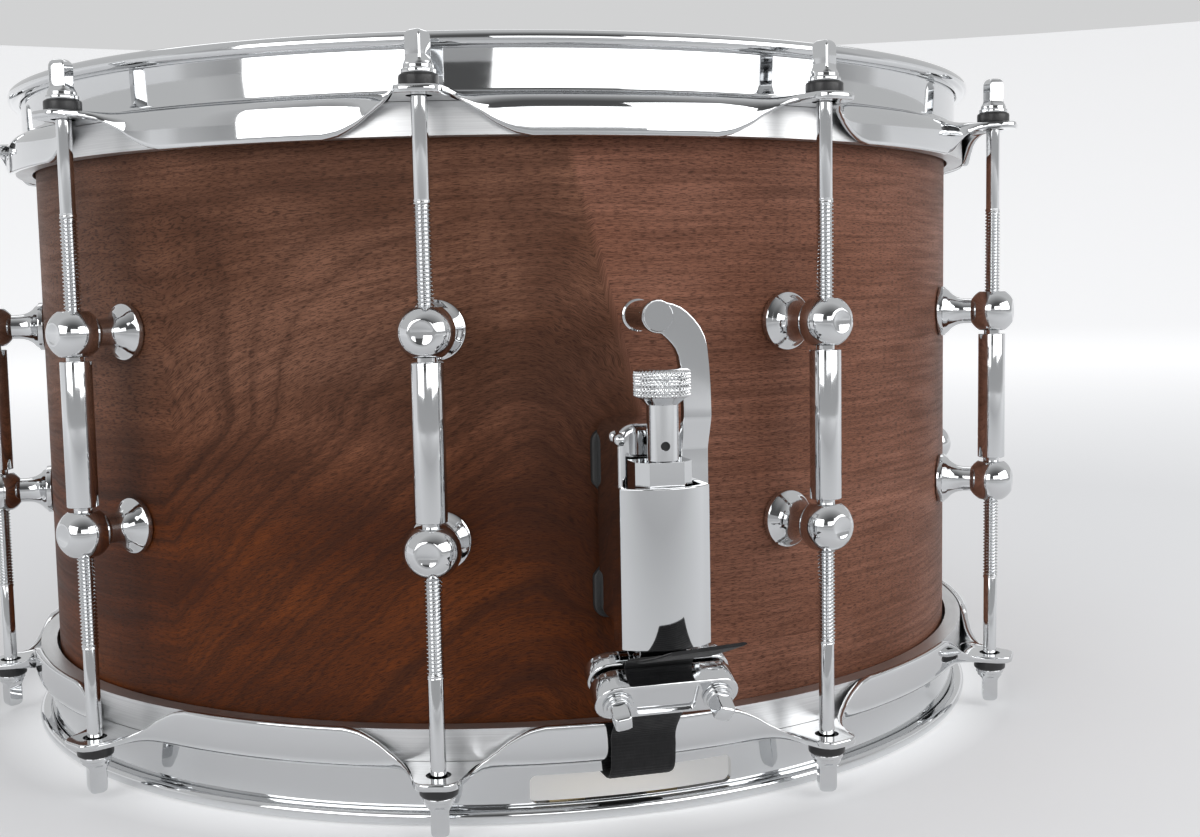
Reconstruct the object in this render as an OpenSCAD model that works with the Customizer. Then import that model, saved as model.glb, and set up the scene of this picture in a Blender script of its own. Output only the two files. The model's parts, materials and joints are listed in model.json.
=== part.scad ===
// Snare drum, 14 x 8 inch: a ply shell with two hoops, ten ball lugs,
// a throw-off with tension knob and strap clamp, and a butt plate.
// The drum's axis is Z, its bottom rim stands on z = 0 and the throw-off faces -Y.

/* [Drum] */
// Outside diameter of the shell
shell_d = 354; // [300:1:400]
// Height of the drum from rim to rim
drum_h = 232; // [180:1:260]
// Thickness of the shell's ply
shell_wall = 7; // [5:0.5:10]
// Number of lugs round the drum
lug_count = 10; // [10:2:10]
// Depth of the head below the rim
rim_reach = 14.5; // [12:0.5:18]
// Depth of the snare beds cut into the lower edge
bed_depth = 2; // [1:0.25:2.5]

/* [Hoops] */
// Thickness of the hoop's sheet
hoop_sheet = 2.3; // [1.6:0.1:2.6]
// Outward reach of the rolled rim from the wall
rim_roll = 4.4; // [3:0.1:6]
// Height of the rolled rim
rim_roll_h = 4.6; // [3:0.1:6]
// Depth of the ears below the rim
ear_depth = 17.4; // [16:0.1:22]
// Height of the skirt below the ears
skirt_h = 12.2; // [8:0.1:15]
// Width of an ear at its tip
ear_w = 13; // [11:0.5:18]
// Diameter of the hole in an ear
ear_hole_d = 7.4; // [6:0.1:8]
// Width of the snare gates in the bottom hoop
gate_w = 64; // [50:1:70]
// Height of the snare gates
gate_h = 8.6; // [6:0.1:9]

/* [Heads] */
// Thickness of a head's film
film = 0.3; // [0.2:0.05:0.5]
// Height of a flesh hoop
flesh_h = 9.6; // [8:0.1:11]
// Thickness of a flesh hoop's wall
flesh_wall = 5.6; // [4:0.1:6]

/* [Lugs] */
// Distance from the shell to the tension rods
rod_standoff = 19; // [17:0.5:24]
// Diameter of a lug's ball
ball_d = 16.8; // [14:0.1:20]
// Distance between the two balls of a lug
ball_pitch = 62.2; // [50:0.1:80]
// Diameter of the tube between the balls
tube_d = 9.6; // [7:0.1:11]
// Diameter of a lug's base flange
flange_d = 18; // [16:0.5:24]

/* [Tension rods] */
// Diameter of a rod's thread
thread_d = 5.4; // [4.8:0.1:6]
// Diameter of a rod's plain shank
shank_d = 4.7; // [4:0.1:4.8]
// Length of a rod's thread
thread_l = 41; // [30:1:45]
// Width of a rod's square head
key_w = 5.4; // [5:0.1:6.4]
// Height of a rod's square head
key_h = 9.5; // [7:0.1:10]
// Thickness of a rod's washer
rod_washer_t = 3.4; // [1.5:0.1:4]

/* [Throw-off] */
// Width of the cover
cover_w = 26; // [22:0.5:30]
// Height of the cover
cover_h = 45; // [40:0.5:50]
// Height of the cover's lower edge above the bottom rim
cover_z = 59; // [58:0.5:62]
// Radius of the lever's swing to the grip
lever_r = 58.5; // [54:0.5:62]
// Turn of the lever from on to off
lever_turn = 50; // [40:1:54]
// Travel of the carriage from on to off
drop = 6; // [5:0.5:6.5]
// Diameter of the knurled knob
knob_d = 16; // [14:0.5:17]
// Diameter of the knob's stem
stem_d = 8.8; // [8:0.1:9]
// Length of the clamp's jaws
jaw_w = 42; // [38:0.5:50]
// Distance between the clamp's bolts
bolt_pitch = 29.2; // [26:0.1:32]
// Slope of the clamp from upright
clamp_tilt = 32; // [25:1:40]

/* [Snares] */
// Number of snare strands
strands = 20; // [12:2:24]
// Distance between strands
strand_pitch = 2.05; // [1.9:0.05:2.2]
// Outside diameter of a coiled strand
strand_d = 1.8; // [1.4:0.1:1.8]
// Width of a strap
strap_w = 20; // [16:0.5:22]
// Thickness of a strap
strap_t = 0.9; // [0.6:0.1:1]

/* [Hidden] */
$fn = 96;

// clearances
run = 0.05;      // radial clearance of a running fit
seat = 0.1;      // gap between pieces of one body that rest on each other
clear = 0.4;     // gap between pieces that move past each other
eps = 0.01;

// drum
shell_r = shell_d / 2;
mid_z = drum_h / 2;
bore_r = shell_r - shell_wall;
lug_step = 360 / lug_count;

// hoops, whose sizes run out from the shell
wall_in = shell_r + 1.6;
wall_out = wall_in + hoop_sheet;
rim_out = wall_out + rim_roll;
flesh_in = shell_r + 1.2;
flesh_out = flesh_in + flesh_wall;
skirt_in = flesh_out + 0.3;
skirt_out = skirt_in + hoop_sheet;
rod_r = shell_r + rod_standoff;
ear_out = rod_r + 9;
skirt_low = ear_depth + skirt_h;
flesh_top = ear_depth + hoop_sheet + seat;

// lugs and rods
ball_r = ball_d / 2;
ball_flat = ball_r * 0.835;
facet_s = ball_r * 0.895;
neck_r = tube_d / 2 - 0.2;
lug_screw_r = 2.5;
rod_collar_r = 5;
rod_collar_t = 2.7;
washer_r = 5.7;
bore_depth = ball_flat + 5;

// throw-off, with places along -Y measured from the drum's axis
gasket_t = 2;
gasket_in = shell_r + 0.2;
base_in = gasket_in + gasket_t + seat;
lever_t = 3;
lever_in = shell_r + 25.6;
lever_jog = 2.9;
base_out = lever_in - clear;
cover_in = lever_in + lever_t + clear;
cover_out = shell_r + 43;
cover_edge = cover_out - 5.5;
cover_wall = 1.8;
cover_top = cover_z + cover_h;
cover_arc = (pow(cover_w / 2, 2) + pow(cover_out - cover_edge, 2)) / (2 * (cover_out - cover_edge));
base_w = 19;
base_z = cover_z + 2;
base_top = cover_top + 16.5;
base_skin = 2.5;
stem_y = cover_out - 6.8;
block_top = cover_top + 6.8;
stem_top = block_top + 15.7;
knob_h = 7.4;
screw_r = 2.5;
pivot_x = -1;
pivot_z = cover_top - 12;
pivot_r = 3;
grip_r = 4.75;
grip_l = 17.5;
grip_x = 0.7;
lever_side = 16;
lever_w = 8.2;
peg_arm = drop / (2 * sin(lever_turn / 2));
peg_r = 1.5;
peg_play = 0.5;
bar_in = cover_in;
bar_out = bar_in + 4;
bar_w = 12;
hanger_in = bar_out + clear;
hanger_out = cover_out - cover_wall - 1.2;

// clamp, in its own frame: x along the jaws, z up the strap, -y outward
jaw_h = 12.5;
rear_jaw_t = 5.5;
front_jaw_t = 7.5;
jaw_gap = strap_t + 0.6;
clamp_y = shell_r + 30.6;
clamp_z = cover_z - 10.7;
bolt_r = 2;
bolt_key = 5;

// snares
wire_z = rim_reach - film - 0.3 - strand_d / 2;
wire_l = 292;
plate_l = 12;
plate_t = 0.8;
wires_w = (strands - 1) * strand_pitch + strand_d + 1.4;
strap_z = rim_reach - 2;

module at_azimuth(a) { rotate([0, 0, a]) children(); }
module each_lug() { for (i = [0 : lug_count - 1]) at_azimuth((i + 0.5) * lug_step) children(); }
module outward(r0, r1, r) { translate([0, -r0, 0]) rotate([90, 0, 0]) cylinder(r = r, h = r1 - r0); }
module slab(x0, x1, s0, s1, z0, z1) { translate([x0, -s1, z0]) cube([x1 - x0, s1 - s0, z1 - z0]); }
module ring(r0, r1, z0, z1) {
    translate([0, 0, z0]) difference() {
        cylinder(r = r1, h = z1 - z0, $fn = 180);
        translate([0, 0, -1]) cylinder(r = r0, h = z1 - z0 + 2, $fn = 180);
    }
}
module upside_down() { translate([0, 0, drum_h]) mirror([0, 0, 1]) children(); }
module rounded(w, h, r) {
    translate([r - w / 2, -h / 2]) square([w - 2 * r, h]);
    translate([-w / 2, r - h / 2]) square([w, h - 2 * r]);
    for (x = [-1, 1], y = [-1, 1]) translate([x * (w / 2 - r), y * (h / 2 - r)]) circle(r = r);
}
// a plate standing in XZ between two distances from the axis
module plate(s0, s1) { translate([0, -s0, 0]) rotate([90, 0, 0]) linear_extrude(s1 - s0) children(); }

module snare_bed() {
    chord = 55;
    bed_r = (chord * chord + bed_depth * bed_depth) / (2 * bed_depth);
    translate([0, shell_r + 5, rim_reach + bed_depth - bed_r]) rotate([90, 0, 0])
        cylinder(r = bed_r, h = 2 * shell_r + 10, $fn = 180);
}

module shell() {
    edge = 3;
    color([0.36, 0.2, 0.14]) difference() {
        ring(bore_r, shell_r, rim_reach, drum_h - rim_reach);
        for (z = [rim_reach, drum_h - rim_reach]) translate([0, 0, z]) rotate_extrude($fn = 180)
            polygon([[bore_r - 1, -edge - 1], [bore_r - 1, edge + 1], [bore_r + edge + 0.5, 0]]);
        snare_bed();
        each_lug() for (z = [mid_z - ball_pitch / 2, mid_z + ball_pitch / 2])
            translate([0, 0, z]) outward(bore_r - 5, shell_r + 5, lug_screw_r + 0.3);
        at_azimuth(3 * lug_step) translate([0, 0, mid_z]) outward(bore_r - 5, shell_r + 5, 6.5);
        for (z = strainer_screw_z) translate([0, 0, z]) outward(bore_r - 5, shell_r + 5, screw_r + 0.3);
        at_azimuth(180) for (z = butt_screw_z)
            translate([0, 0, z]) outward(bore_r - 5, shell_r + 5, screw_r + 0.3);
    }
}

// Hoop drawn upside down: the rim is on z = 0
module hoop() {
    roll = rim_roll_h / 2;
    pad = 0.2; // an ear's pressed pad stands this proud of the sheet
    difference() {
        union() {
            rotate_extrude($fn = 180) {
                polygon([[wall_in, 1.2], [wall_in + 1.2, 0], [rim_out - roll, 0], [rim_out - roll, hoop_sheet],
                    [wall_out, hoop_sheet + 0.8], [wall_out, ear_depth + pad],
                    [skirt_out - 1, ear_depth + pad], [skirt_out, ear_depth + pad + 1],
                    [skirt_out, skirt_low], [skirt_in, skirt_low], [skirt_in, ear_depth + hoop_sheet - pad],
                    [wall_in, ear_depth + hoop_sheet - pad]]);
                difference() {
                    translate([rim_out - roll, roll]) circle(r = roll, $fn = 48);
                    translate([wall_out - 5, hoop_sheet]) square([5 + rim_roll - hoop_sheet, roll * 2]);
                }
            }
            each_lug() translate([0, 0, ear_depth]) linear_extrude(hoop_sheet) polygon([
                [-ear_w / 2 - 5, 3 - skirt_in], [-ear_w / 2, -ear_out + 3], [-ear_w / 2 + 3, -ear_out],
                [ear_w / 2 - 3, -ear_out], [ear_w / 2, -ear_out + 3], [ear_w / 2 + 5, 3 - skirt_in]]);
        }
        each_lug() {
            translate([0, -rod_r, ear_depth - 1]) cylinder(d = ear_hole_d, h = hoop_sheet + 2);
            plate(skirt_in - 2, skirt_out + 3) polygon([
                [-ear_w / 2 - 3, ear_depth + hoop_sheet + 0.5], [-ear_w / 2 - 17, skirt_low + 1],
                [ear_w / 2 + 17, skirt_low + 1], [ear_w / 2 + 3, ear_depth + hoop_sheet + 0.5]]);
        }
    }
}
module gate() {
    plate(wall_in - 12, wall_out + 1)
        translate([-gate_w / 2, rim_roll_h + 0.4]) square([gate_w, gate_h]);
}
module top_hoop() { color("silver") upside_down() hoop(); }
module bottom_hoop() {
    color("silver") difference() {
        hoop();
        gate();
        at_azimuth(180) gate();
    }
}

// Head drawn on the bottom side: a flat film with a collar down to the flesh hoop
module head() {
    color("ivory") difference() {
        translate([0, 0, rim_reach - film - 0.05])
            cylinder(r = shell_r + 2 * seat + film, h = flesh_top + 3 - rim_reach + film, $fn = 180);
        translate([0, 0, rim_reach - 0.05])
            cylinder(r = shell_r + 2 * seat, h = flesh_top + 10 - rim_reach, $fn = 180);
    }
}
module flesh_hoop() { color("lightgray") ring(flesh_in, flesh_out, flesh_top, flesh_top + flesh_h); }
module batter_head() { upside_down() head(); }
module batter_flesh_hoop() { upside_down() flesh_hoop(); }
module snare_head() { head(); }
module snare_flesh_hoop() { flesh_hoop(); }

// One ball post, its ball at the origin, its flange back towards the axis
module ball_post() {
    back = rod_standoff - 0.2;
    flare = 7;
    difference() {
        union() {
            intersection() {
                sphere(r = ball_r);
                slab(-ball_d, ball_d, -ball_d, facet_s, -ball_flat, ball_flat);
            }
            translate([0, back, 0]) rotate([90, 0, 0]) {
                cylinder(d = flange_d, h = 2);
                cylinder(r = neck_r, h = back - 4);
                rotate_extrude() difference() {
                    square([flange_d / 2 - 0.8, flare + 2]);
                    translate([neck_r + flare, flare + 2]) circle(r = flare);
                }
            }
        }
        outward(-back - 1, -ball_r - 0.5, lug_screw_r + 0.02);
        translate([0, -facet_s - 0.01, 0]) rotate([90, 0, 0]) translate([0, 0, -0.5])
            cylinder(r1 = 0.2, r2 = 3.4, h = 0.52);
    }
}
module lug() {
    half = ball_pitch / 2;
    gap = 1.4;
    color("silver") {
        for (s = [-1, 1]) translate([0, -rod_r, mid_z + s * half]) difference() {
            union() {
                ball_post();
                translate([0, 0, s < 0 ? 0 : -ball_flat - gap]) cylinder(r = 2.8, h = ball_flat + gap);
            }
            translate([0, 0, s < 0 ? -ball_flat - 1 : ball_flat - bore_depth])
                cylinder(r = thread_d / 2 + run, h = bore_depth + 1);
        }
        translate([0, -rod_r, mid_z - half + ball_flat + gap])
            cylinder(d = tube_d, h = ball_pitch - 2 * (ball_flat + gap));
    }
}

// Tension rod of the bottom side, standing on its key head
module rod() {
    seat_z = ear_depth - rod_washer_t - seat;
    tip = mid_z - ball_pitch / 2 - ball_flat + bore_depth - 0.4;
    key_z = seat_z - rod_collar_t - key_h;
    color("silver") translate([0, -rod_r, 0]) {
        translate([-key_w / 2, -key_w / 2, key_z + 0.8]) cube([key_w, key_w, key_h]);
        translate([0, 0, key_z]) cylinder(r1 = key_w / 2 - 0.9, r2 = key_w / 2, h = 0.8);
        translate([0, 0, seat_z - rod_collar_t]) cylinder(r = rod_collar_r - 0.6, h = rod_collar_t);
        translate([0, 0, seat_z - rod_collar_t / 2]) cylinder(r = rod_collar_r, h = rod_collar_t / 2);
        translate([0, 0, seat_z - 0.5]) cylinder(d = shank_d, h = tip - thread_l - seat_z + 1);
        translate([0, 0, tip - thread_l]) cylinder(d = thread_d, h = thread_l - 2);
        translate([0, 0, tip - 2]) cylinder(r1 = thread_d / 2, r2 = thread_d / 2 - 1, h = 2);
    }
}
module bottom_rod(i) { at_azimuth((i - 0.5) * lug_step) rod(); }
module top_rod(i) { upside_down() bottom_rod(i); }
module rod_washers() {
    color([0.08, 0.08, 0.08]) each_lug() translate([0, -rod_r, 0])
        for (z = [ear_depth - rod_washer_t - seat / 2, drum_h - ear_depth + seat / 2])
            translate([0, 0, z]) difference() {
                cylinder(r = washer_r, h = rod_washer_t);
                translate([0, 0, -1]) cylinder(d = shank_d + 0.6, h = rod_washer_t + 2);
            }
}

module inside_screw(r, grip_s, washer_t) {
    head_s = bore_r - washer_t - 2 * seat;
    outward(head_s - 3.4, head_s, 2 * r);
    outward(head_s - 0.1, grip_s, r);
}
module inside_washer(r, washer_t) {
    difference() {
        outward(bore_r - washer_t - seat, bore_r - seat - 0.8, 2 * r + 2);
        outward(bore_r - washer_t - 2, bore_r + 2, r + 0.3);
    }
}
lug_washer_t = 2;
module lug_screws() {
    color("gray") each_lug() for (s = [-1, 1]) translate([0, 0, mid_z + s * ball_pitch / 2])
        inside_screw(lug_screw_r, rod_r - ball_r - 1.2, lug_washer_t);
}
module lug_screw_washers() {
    color("gray") each_lug() for (s = [-1, 1]) translate([0, 0, mid_z + s * ball_pitch / 2])
        inside_washer(lug_screw_r, lug_washer_t);
}
module vent_grommet() {
    color("silver") at_azimuth(3 * lug_step) translate([0, 0, mid_z]) difference() {
        union() {
            outward(bore_r - 1.2, shell_r + 0.6, 6.3);
            outward(shell_r + 0.2, shell_r + 1.8, 10);
            outward(bore_r - 1.6, bore_r - 0.6, 8);
        }
        outward(bore_r - 5, shell_r + 5, 4.5);
    }
}

// Throw-off
strainer_screw_z = [base_z + 7, base_top - 8];
module strainer_gasket() {
    z0 = base_z - 1;
    z1 = base_top + 1;
    color([0.07, 0.07, 0.07]) difference() {
        intersection() {
            ring(gasket_in, gasket_in + gasket_t, z0, z1);
            plate(shell_r - 10, shell_r + 10) translate([0, (z0 + z1) / 2]) rounded(base_w + 3, z1 - z0, 5);
        }
        for (z = strainer_screw_z) translate([0, 0, z]) outward(shell_r - 9, shell_r + 9, screw_r + 0.3);
    }
}
module strainer_base() {
    zc = (base_z + base_top) / 2;
    h = base_top - base_z;
    color("silver") difference() {
        union() {
            plate(shell_r - 6, base_out) translate([0, zc]) rounded(base_w, h, 4.5);
            slab(-cover_w / 2 + 2, -7.5, base_out - 2, cover_in + 4, cover_z + 3, cover_z + 9);
            slab(-cover_w / 2 + 2, -7.5, base_out - 2, cover_in + 4, cover_z + 18, cover_z + 24);
        }
        translate([0, 0, base_z - 5]) cylinder(r = base_in, h = h + 10, $fn = 180);
        difference() {
            plate(shell_r - 8, base_out - base_skin)
                translate([0, zc]) rounded(base_w - 2 * base_skin, h - 2 * base_skin, 2.5);
            for (z = strainer_screw_z) translate([0, 0, z]) outward(shell_r - 9, base_out, screw_r + 2.2);
            translate([pivot_x, 0, pivot_z]) outward(shell_r - 9, base_out, pivot_r + 2);
        }
        for (z = strainer_screw_z) translate([0, 0, z]) outward(shell_r - 9, base_out - 4, screw_r + 0.02);
        translate([pivot_x, 0, pivot_z]) outward(base_out - 10, base_out + 2, pivot_r + 0.02);
    }
}
module strainer_screws() {
    color("gray") for (z = strainer_screw_z) translate([0, 0, z])
        inside_screw(screw_r, base_out - 4.5, lug_washer_t);
}
module cover_outline(inset) {
    intersection() {
        translate([0, cover_arc - cover_out]) circle(r = cover_arc - inset, $fn = 180);
        translate([inset - cover_w / 2, -cover_out - 1])
            square([cover_w - 2 * inset, cover_out - cover_in + 1]);
    }
}
module strainer_cover() {
    color("silver") difference() {
        translate([0, 0, cover_z]) linear_extrude(cover_h) cover_outline(0);
        translate([0, 0, cover_z - 1]) linear_extrude(cover_h + 2) {
            cover_outline(cover_wall);
            translate([cover_wall - cover_w / 2, -cover_in - 3]) square([cover_w - 2 * cover_wall, 4]);
        }
    }
}
module lever_pivot() {
    color("gray") translate([pivot_x, 0, pivot_z]) {
        outward(base_out - 9, lever_in + lever_t - 0.3, pivot_r);
    }
}
module lever_outline() {
    grip_z = pivot_z + lever_r;
    arc = 12.4;
    top_z = pivot_z + 22;
    arc_z = grip_z + grip_r - arc;
    union() {
        translate([lever_side - lever_w, top_z]) square([lever_w, arc_z - top_z]);
        intersection() {
            difference() {
                translate([lever_side - arc, arc_z]) circle(r = arc);
                translate([lever_side - arc - 2.2, arc_z - 2.2]) circle(r = 7.6);
            }
            translate([lever_side - arc - 1, arc_z]) square([arc + 2, arc + 2]);
        }
        translate([grip_x, grip_z]) circle(r = grip_r);
        translate([grip_x, grip_z - grip_r + 0.4]) square([lever_side - arc - grip_x, 2 * grip_r - 0.4]);
    }
}
module lever_low() {
    translate([lever_side - lever_w, pivot_z + 4]) square([lever_w, 18]);
    translate([pivot_x, pivot_z]) circle(r = 7);
    translate([lever_side - 9, pivot_z + 4]) circle(r = 9);
}
module throw_lever() {
    up = lever_in + lever_jog;
    jog_z0 = pivot_z + 21;
    jog_z1 = jog_z0 + 9;
    color("silver") difference() {
        union() {
            plate(up, up + lever_t) lever_outline();
            plate(lever_in, lever_in + lever_t) lever_low();
            translate([lever_side - lever_w, 0, 0]) rotate([90, 0, 90]) linear_extrude(lever_w)
                polygon([[-lever_in, jog_z0], [-lever_in, jog_z0 - 1], [-lever_in - lever_t, jog_z0 - 1],
                    [-lever_in - lever_t, jog_z0], [-up - lever_t, jog_z1], [-up - lever_t, jog_z1 + 1],
                    [-up, jog_z1 + 1], [-up, jog_z1]]);
            translate([grip_x, 0, pivot_z + lever_r]) {
                outward(up - grip_l, up + 1, grip_r - 0.4);
                outward(up - grip_l, up - grip_l + 1.2, grip_r);
            }
            translate([pivot_x + peg_arm * cos(lever_turn / 2), 0, pivot_z + peg_arm * sin(lever_turn / 2)])
                outward(lever_in + lever_t - 1, bar_out - 0.3, peg_r);
        }
        translate([pivot_x, 0, pivot_z]) outward(lever_in - 5, lever_in + lever_t + 5, pivot_r + run);
    }
}
module carriage() {
    slot_z = pivot_z + peg_arm * sin(lever_turn / 2);
    slot_x0 = pivot_x + peg_arm * cos(lever_turn / 2) - peg_r - peg_play;
    slot_x1 = pivot_x + peg_arm + peg_r + peg_play;
    block_w = 16.4;
    corner = 3.2;
    block_out = stem_y + stem_d / 2 - 0.8;
    inner_w = cover_w / 2 - cover_wall - clear;
    color("silver") difference() {
        union() {
            slab(-bar_w / 2, bar_w / 2, bar_in, bar_out, cover_z + 14, block_top - 12);
            slab(0, inner_w, bar_in, bar_out, slot_z - peg_r - 3, slot_z + peg_r + 3);
            translate([0, 0, block_top - 14]) linear_extrude(14) polygon([
                [-block_w / 2, -bar_in], [-block_w / 2, corner - block_out], [corner - block_w / 2, -block_out],
                [block_w / 2 - corner, -block_out], [block_w / 2, corner - block_out], [block_w / 2, -bar_in]]);
        }
        translate([(slot_x0 + slot_x1) / 2, 0, slot_z]) plate(bar_in - 1, bar_out + 1)
            square([slot_x1 - slot_x0, 2 * (peg_r + peg_play)], center = true);
        translate([0, -stem_y, block_top - 20]) cylinder(r = screw_r + run, h = 21);
    }
}
module tension_knob() {
    color("silver") translate([0, -stem_y, 0]) difference() {
        union() {
            translate([0, 0, block_top + 0.05]) cylinder(d = stem_d, h = stem_top - block_top);
            translate([0, 0, stem_top]) cylinder(r1 = stem_d / 2, r2 = knob_d / 2 - 1.2, h = 2.2);
            translate([0, 0, stem_top + 2.2]) cylinder(d = knob_d, h = knob_h);
            translate([0, 0, cover_z + 6]) cylinder(r = screw_r, h = block_top - cover_z - 5);
        }
        translate([0, 0, block_top + 4.4]) rotate([90, 0, 0]) cylinder(r = 1.3, h = stem_d, center = true);
    }
}

// The clamp's own frame
module in_clamp() { translate([0, -clamp_y, clamp_z]) rotate([clamp_tilt, 0, 0]) children(); }
module jaw(s0, s1) {
    corner = 3.5;
    translate([0, 0, -jaw_h / 2]) linear_extrude(jaw_h) polygon([
        [-jaw_w / 2, -s0], [-jaw_w / 2 + corner * 0.3, -s1 + corner * 0.6], [-jaw_w / 2 + corner, -s1],
        [jaw_w / 2 - corner, -s1], [jaw_w / 2 - corner * 0.3, -s1 + corner * 0.6], [jaw_w / 2, -s0]]);
}
module clamp_holes(r) {
    for (x = [-1, 1]) translate([x * bolt_pitch / 2, 0, 0]) outward(-30, 30, r);
}
module clamp_rear_jaw() {
    neck_z = cover_z + 4;
    color("silver") difference() {
        union() {
            difference() {
                union() {
                    in_clamp() jaw(-rear_jaw_t - jaw_gap / 2, -jaw_gap / 2);
                    slab(-7, 7, bar_in, bar_out + 2, clamp_z - 2, cover_z + 12);
                }
                in_clamp() translate([-50, -40 + jaw_gap / 2, -40]) cube([100, 40, 80]);
            }
            slab(-7, 7, hanger_in, hanger_out - 1, neck_z + 2, cover_z + 24);
            slab(-7, 7, bar_in, hanger_in + 1, neck_z + 2, cover_z + 12);
        }
        in_clamp() clamp_holes(bolt_r + 0.02);
        translate([0, -stem_y, 0]) cylinder(r = screw_r + run, h = cover_z + 40);
    }
}
module clamp_front_jaw() {
    color("silver") in_clamp() difference() {
        jaw(jaw_gap / 2, jaw_gap / 2 + front_jaw_t);
        clamp_holes(bolt_r + 0.3);
        plate(jaw_gap / 2 + front_jaw_t - 1.2, jaw_gap / 2 + front_jaw_t + 1)
            square([bolt_pitch - 9, jaw_h - 4], center = true);
    }
}
module key_bolt(seat_s, end_s) {
    outward(end_s, seat_s + 1, bolt_r);
    outward(seat_s + 0.05, seat_s + 1.2, 4.2);
    outward(seat_s + 1.1, seat_s + 2.2, 3.4);
    translate([-bolt_key / 2, -seat_s - 7.6, -bolt_key / 2]) cube([bolt_key, 6, bolt_key]);
    outward(seat_s + 7.5, seat_s + 8.2, bolt_key / 2 - 0.2);
}
module clamp_bolts() {
    color("silver") in_clamp() for (x = [-1, 1]) translate([x * bolt_pitch / 2, 0, 0])
        key_bolt(jaw_gap / 2 + front_jaw_t, -rear_jaw_t - jaw_gap / 2 + 0.5);
}

// Straps are bands whose middle line runs through hand-picked turning points in YZ
function joint_dir(a, b) = (b - a) / norm(b - a);
function side(d) = [-d[1], d[0]];
function offset_point(p, i, t) =
    let (d0 = joint_dir(p[max(i - 1, 0)], p[max(i, 1)]),
         d1 = joint_dir(p[min(i, len(p) - 2)], p[min(i + 1, len(p) - 1)]),
         n = side(d0) + side(d1))
    p[i] + n * (2 * t / (n * n));
function band(p, t) = concat([for (i = [0 : len(p) - 1]) offset_point(p, i, t)],
    [for (i = [len(p) - 1 : -1 : 0]) offset_point(p, i, -t)]);
module strap(p) {
    translate([-strap_w / 2, 0, 0]) rotate([90, 0, 90]) linear_extrude(strap_w) polygon(band(p, strap_t / 2));
}
strap_in = wire_l / 2 + plate_l;
jaw_up = [-sin(clamp_tilt), cos(clamp_tilt)];
jaw_out = [-cos(clamp_tilt), -sin(clamp_tilt)];
clamp_mid = [-clamp_y, clamp_z];
function under_hoop(s) = [[-strap_in - s, strap_z], [-wall_in + 1, strap_z], [-wall_out - 1.5, strap_z + 0.3],
    [-skirt_out - 1, ear_depth - 1.2], [-skirt_out - 1.1, skirt_low - 3]];
module front_strap() {
    color([0.06, 0.06, 0.06]) strap(concat(under_hoop(0.3),
        [clamp_mid - 9 * jaw_up, clamp_mid + 7.6 * jaw_up, clamp_mid + 8.6 * jaw_up + 6 * jaw_out]));
}

module snare_wires() {
    color("silver") for (i = [0 : strands - 1])
        translate([(i - (strands - 1) / 2) * strand_pitch, wire_l / 2, wire_z]) rotate([90, 0, 0])
            cylinder(d = strand_d, h = wire_l, $fn = 16);
}
module snare_end_plates() {
    color([0.72, 0.56, 0.3]) for (s = [0, 180]) at_azimuth(s)
        slab(-wires_w / 2, wires_w / 2, wire_l / 2 + 0.05, wire_l / 2 + plate_l, wire_z - plate_t / 2, wire_z + plate_t / 2);
}

// Butt plate, opposite the throw-off
butt_z = clamp_z - 4;
butt_screw_z = [butt_z + 19, butt_z + 33];
butt_w = 36;
butt_out = shell_r + 26;
module butt_gasket() {
    color([0.07, 0.07, 0.07]) at_azimuth(180) difference() {
        intersection() {
            ring(gasket_in, gasket_in + gasket_t, butt_z + 11, butt_z + 41);
            plate(shell_r - 10, shell_r + 10) translate([0, butt_z + 26]) rounded(butt_w + 2, 30, 4);
        }
        for (z = butt_screw_z) translate([0, 0, z]) outward(shell_r - 9, shell_r + 9, screw_r + 0.3);
    }
}
module butt_plate() {
    color("silver") at_azimuth(180) difference() {
        union() {
            plate(shell_r - 8, shell_r + 14) translate([0, butt_z + 26]) rounded(butt_w, 28, 4);
            slab(-butt_w / 2 + 1, butt_w / 2 - 1, shell_r + 9, butt_out, butt_z - 6, butt_z + 20);
        }
        translate([0, 0, butt_z - 10]) cylinder(r = base_in, h = 60, $fn = 180);
        for (z = butt_screw_z) translate([0, 0, z]) outward(shell_r - 9, shell_r + 10, screw_r + 0.02);
        translate([0, 0, butt_z]) for (x = [-1, 1]) translate([x * 13, 0, 0])
            outward(shell_r + 5, butt_out + 5, bolt_r + 0.02);
    }
}
module butt_jaw() {
    s0 = butt_out + jaw_gap;
    color("silver") at_azimuth(180) translate([0, 0, butt_z]) difference() {
        plate(s0, s0 + 6) rounded(butt_w, 12, 4);
        for (x = [-1, 1]) translate([x * 13, 0, 0]) outward(s0 - 2, s0 + 10, bolt_r + 0.3);
    }
}
module butt_bolts() {
    s0 = butt_out + jaw_gap;
    color("silver") at_azimuth(180) {
        for (x = [-1, 1]) translate([x * 13, 0, butt_z]) key_bolt(s0 + 6, shell_r + 10);
        for (z = butt_screw_z) translate([0, 0, z]) inside_screw(screw_r, shell_r + 9.5, lug_washer_t);
    }
}
module rear_strap() {
    gap_y = -butt_out - jaw_gap / 2;
    color([0.06, 0.06, 0.06]) at_azimuth(180) strap(concat(under_hoop(0.3),
        [[gap_y, butt_z - 9], [gap_y, butt_z + 7], [gap_y - 3, butt_z + 11]]));
}

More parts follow.
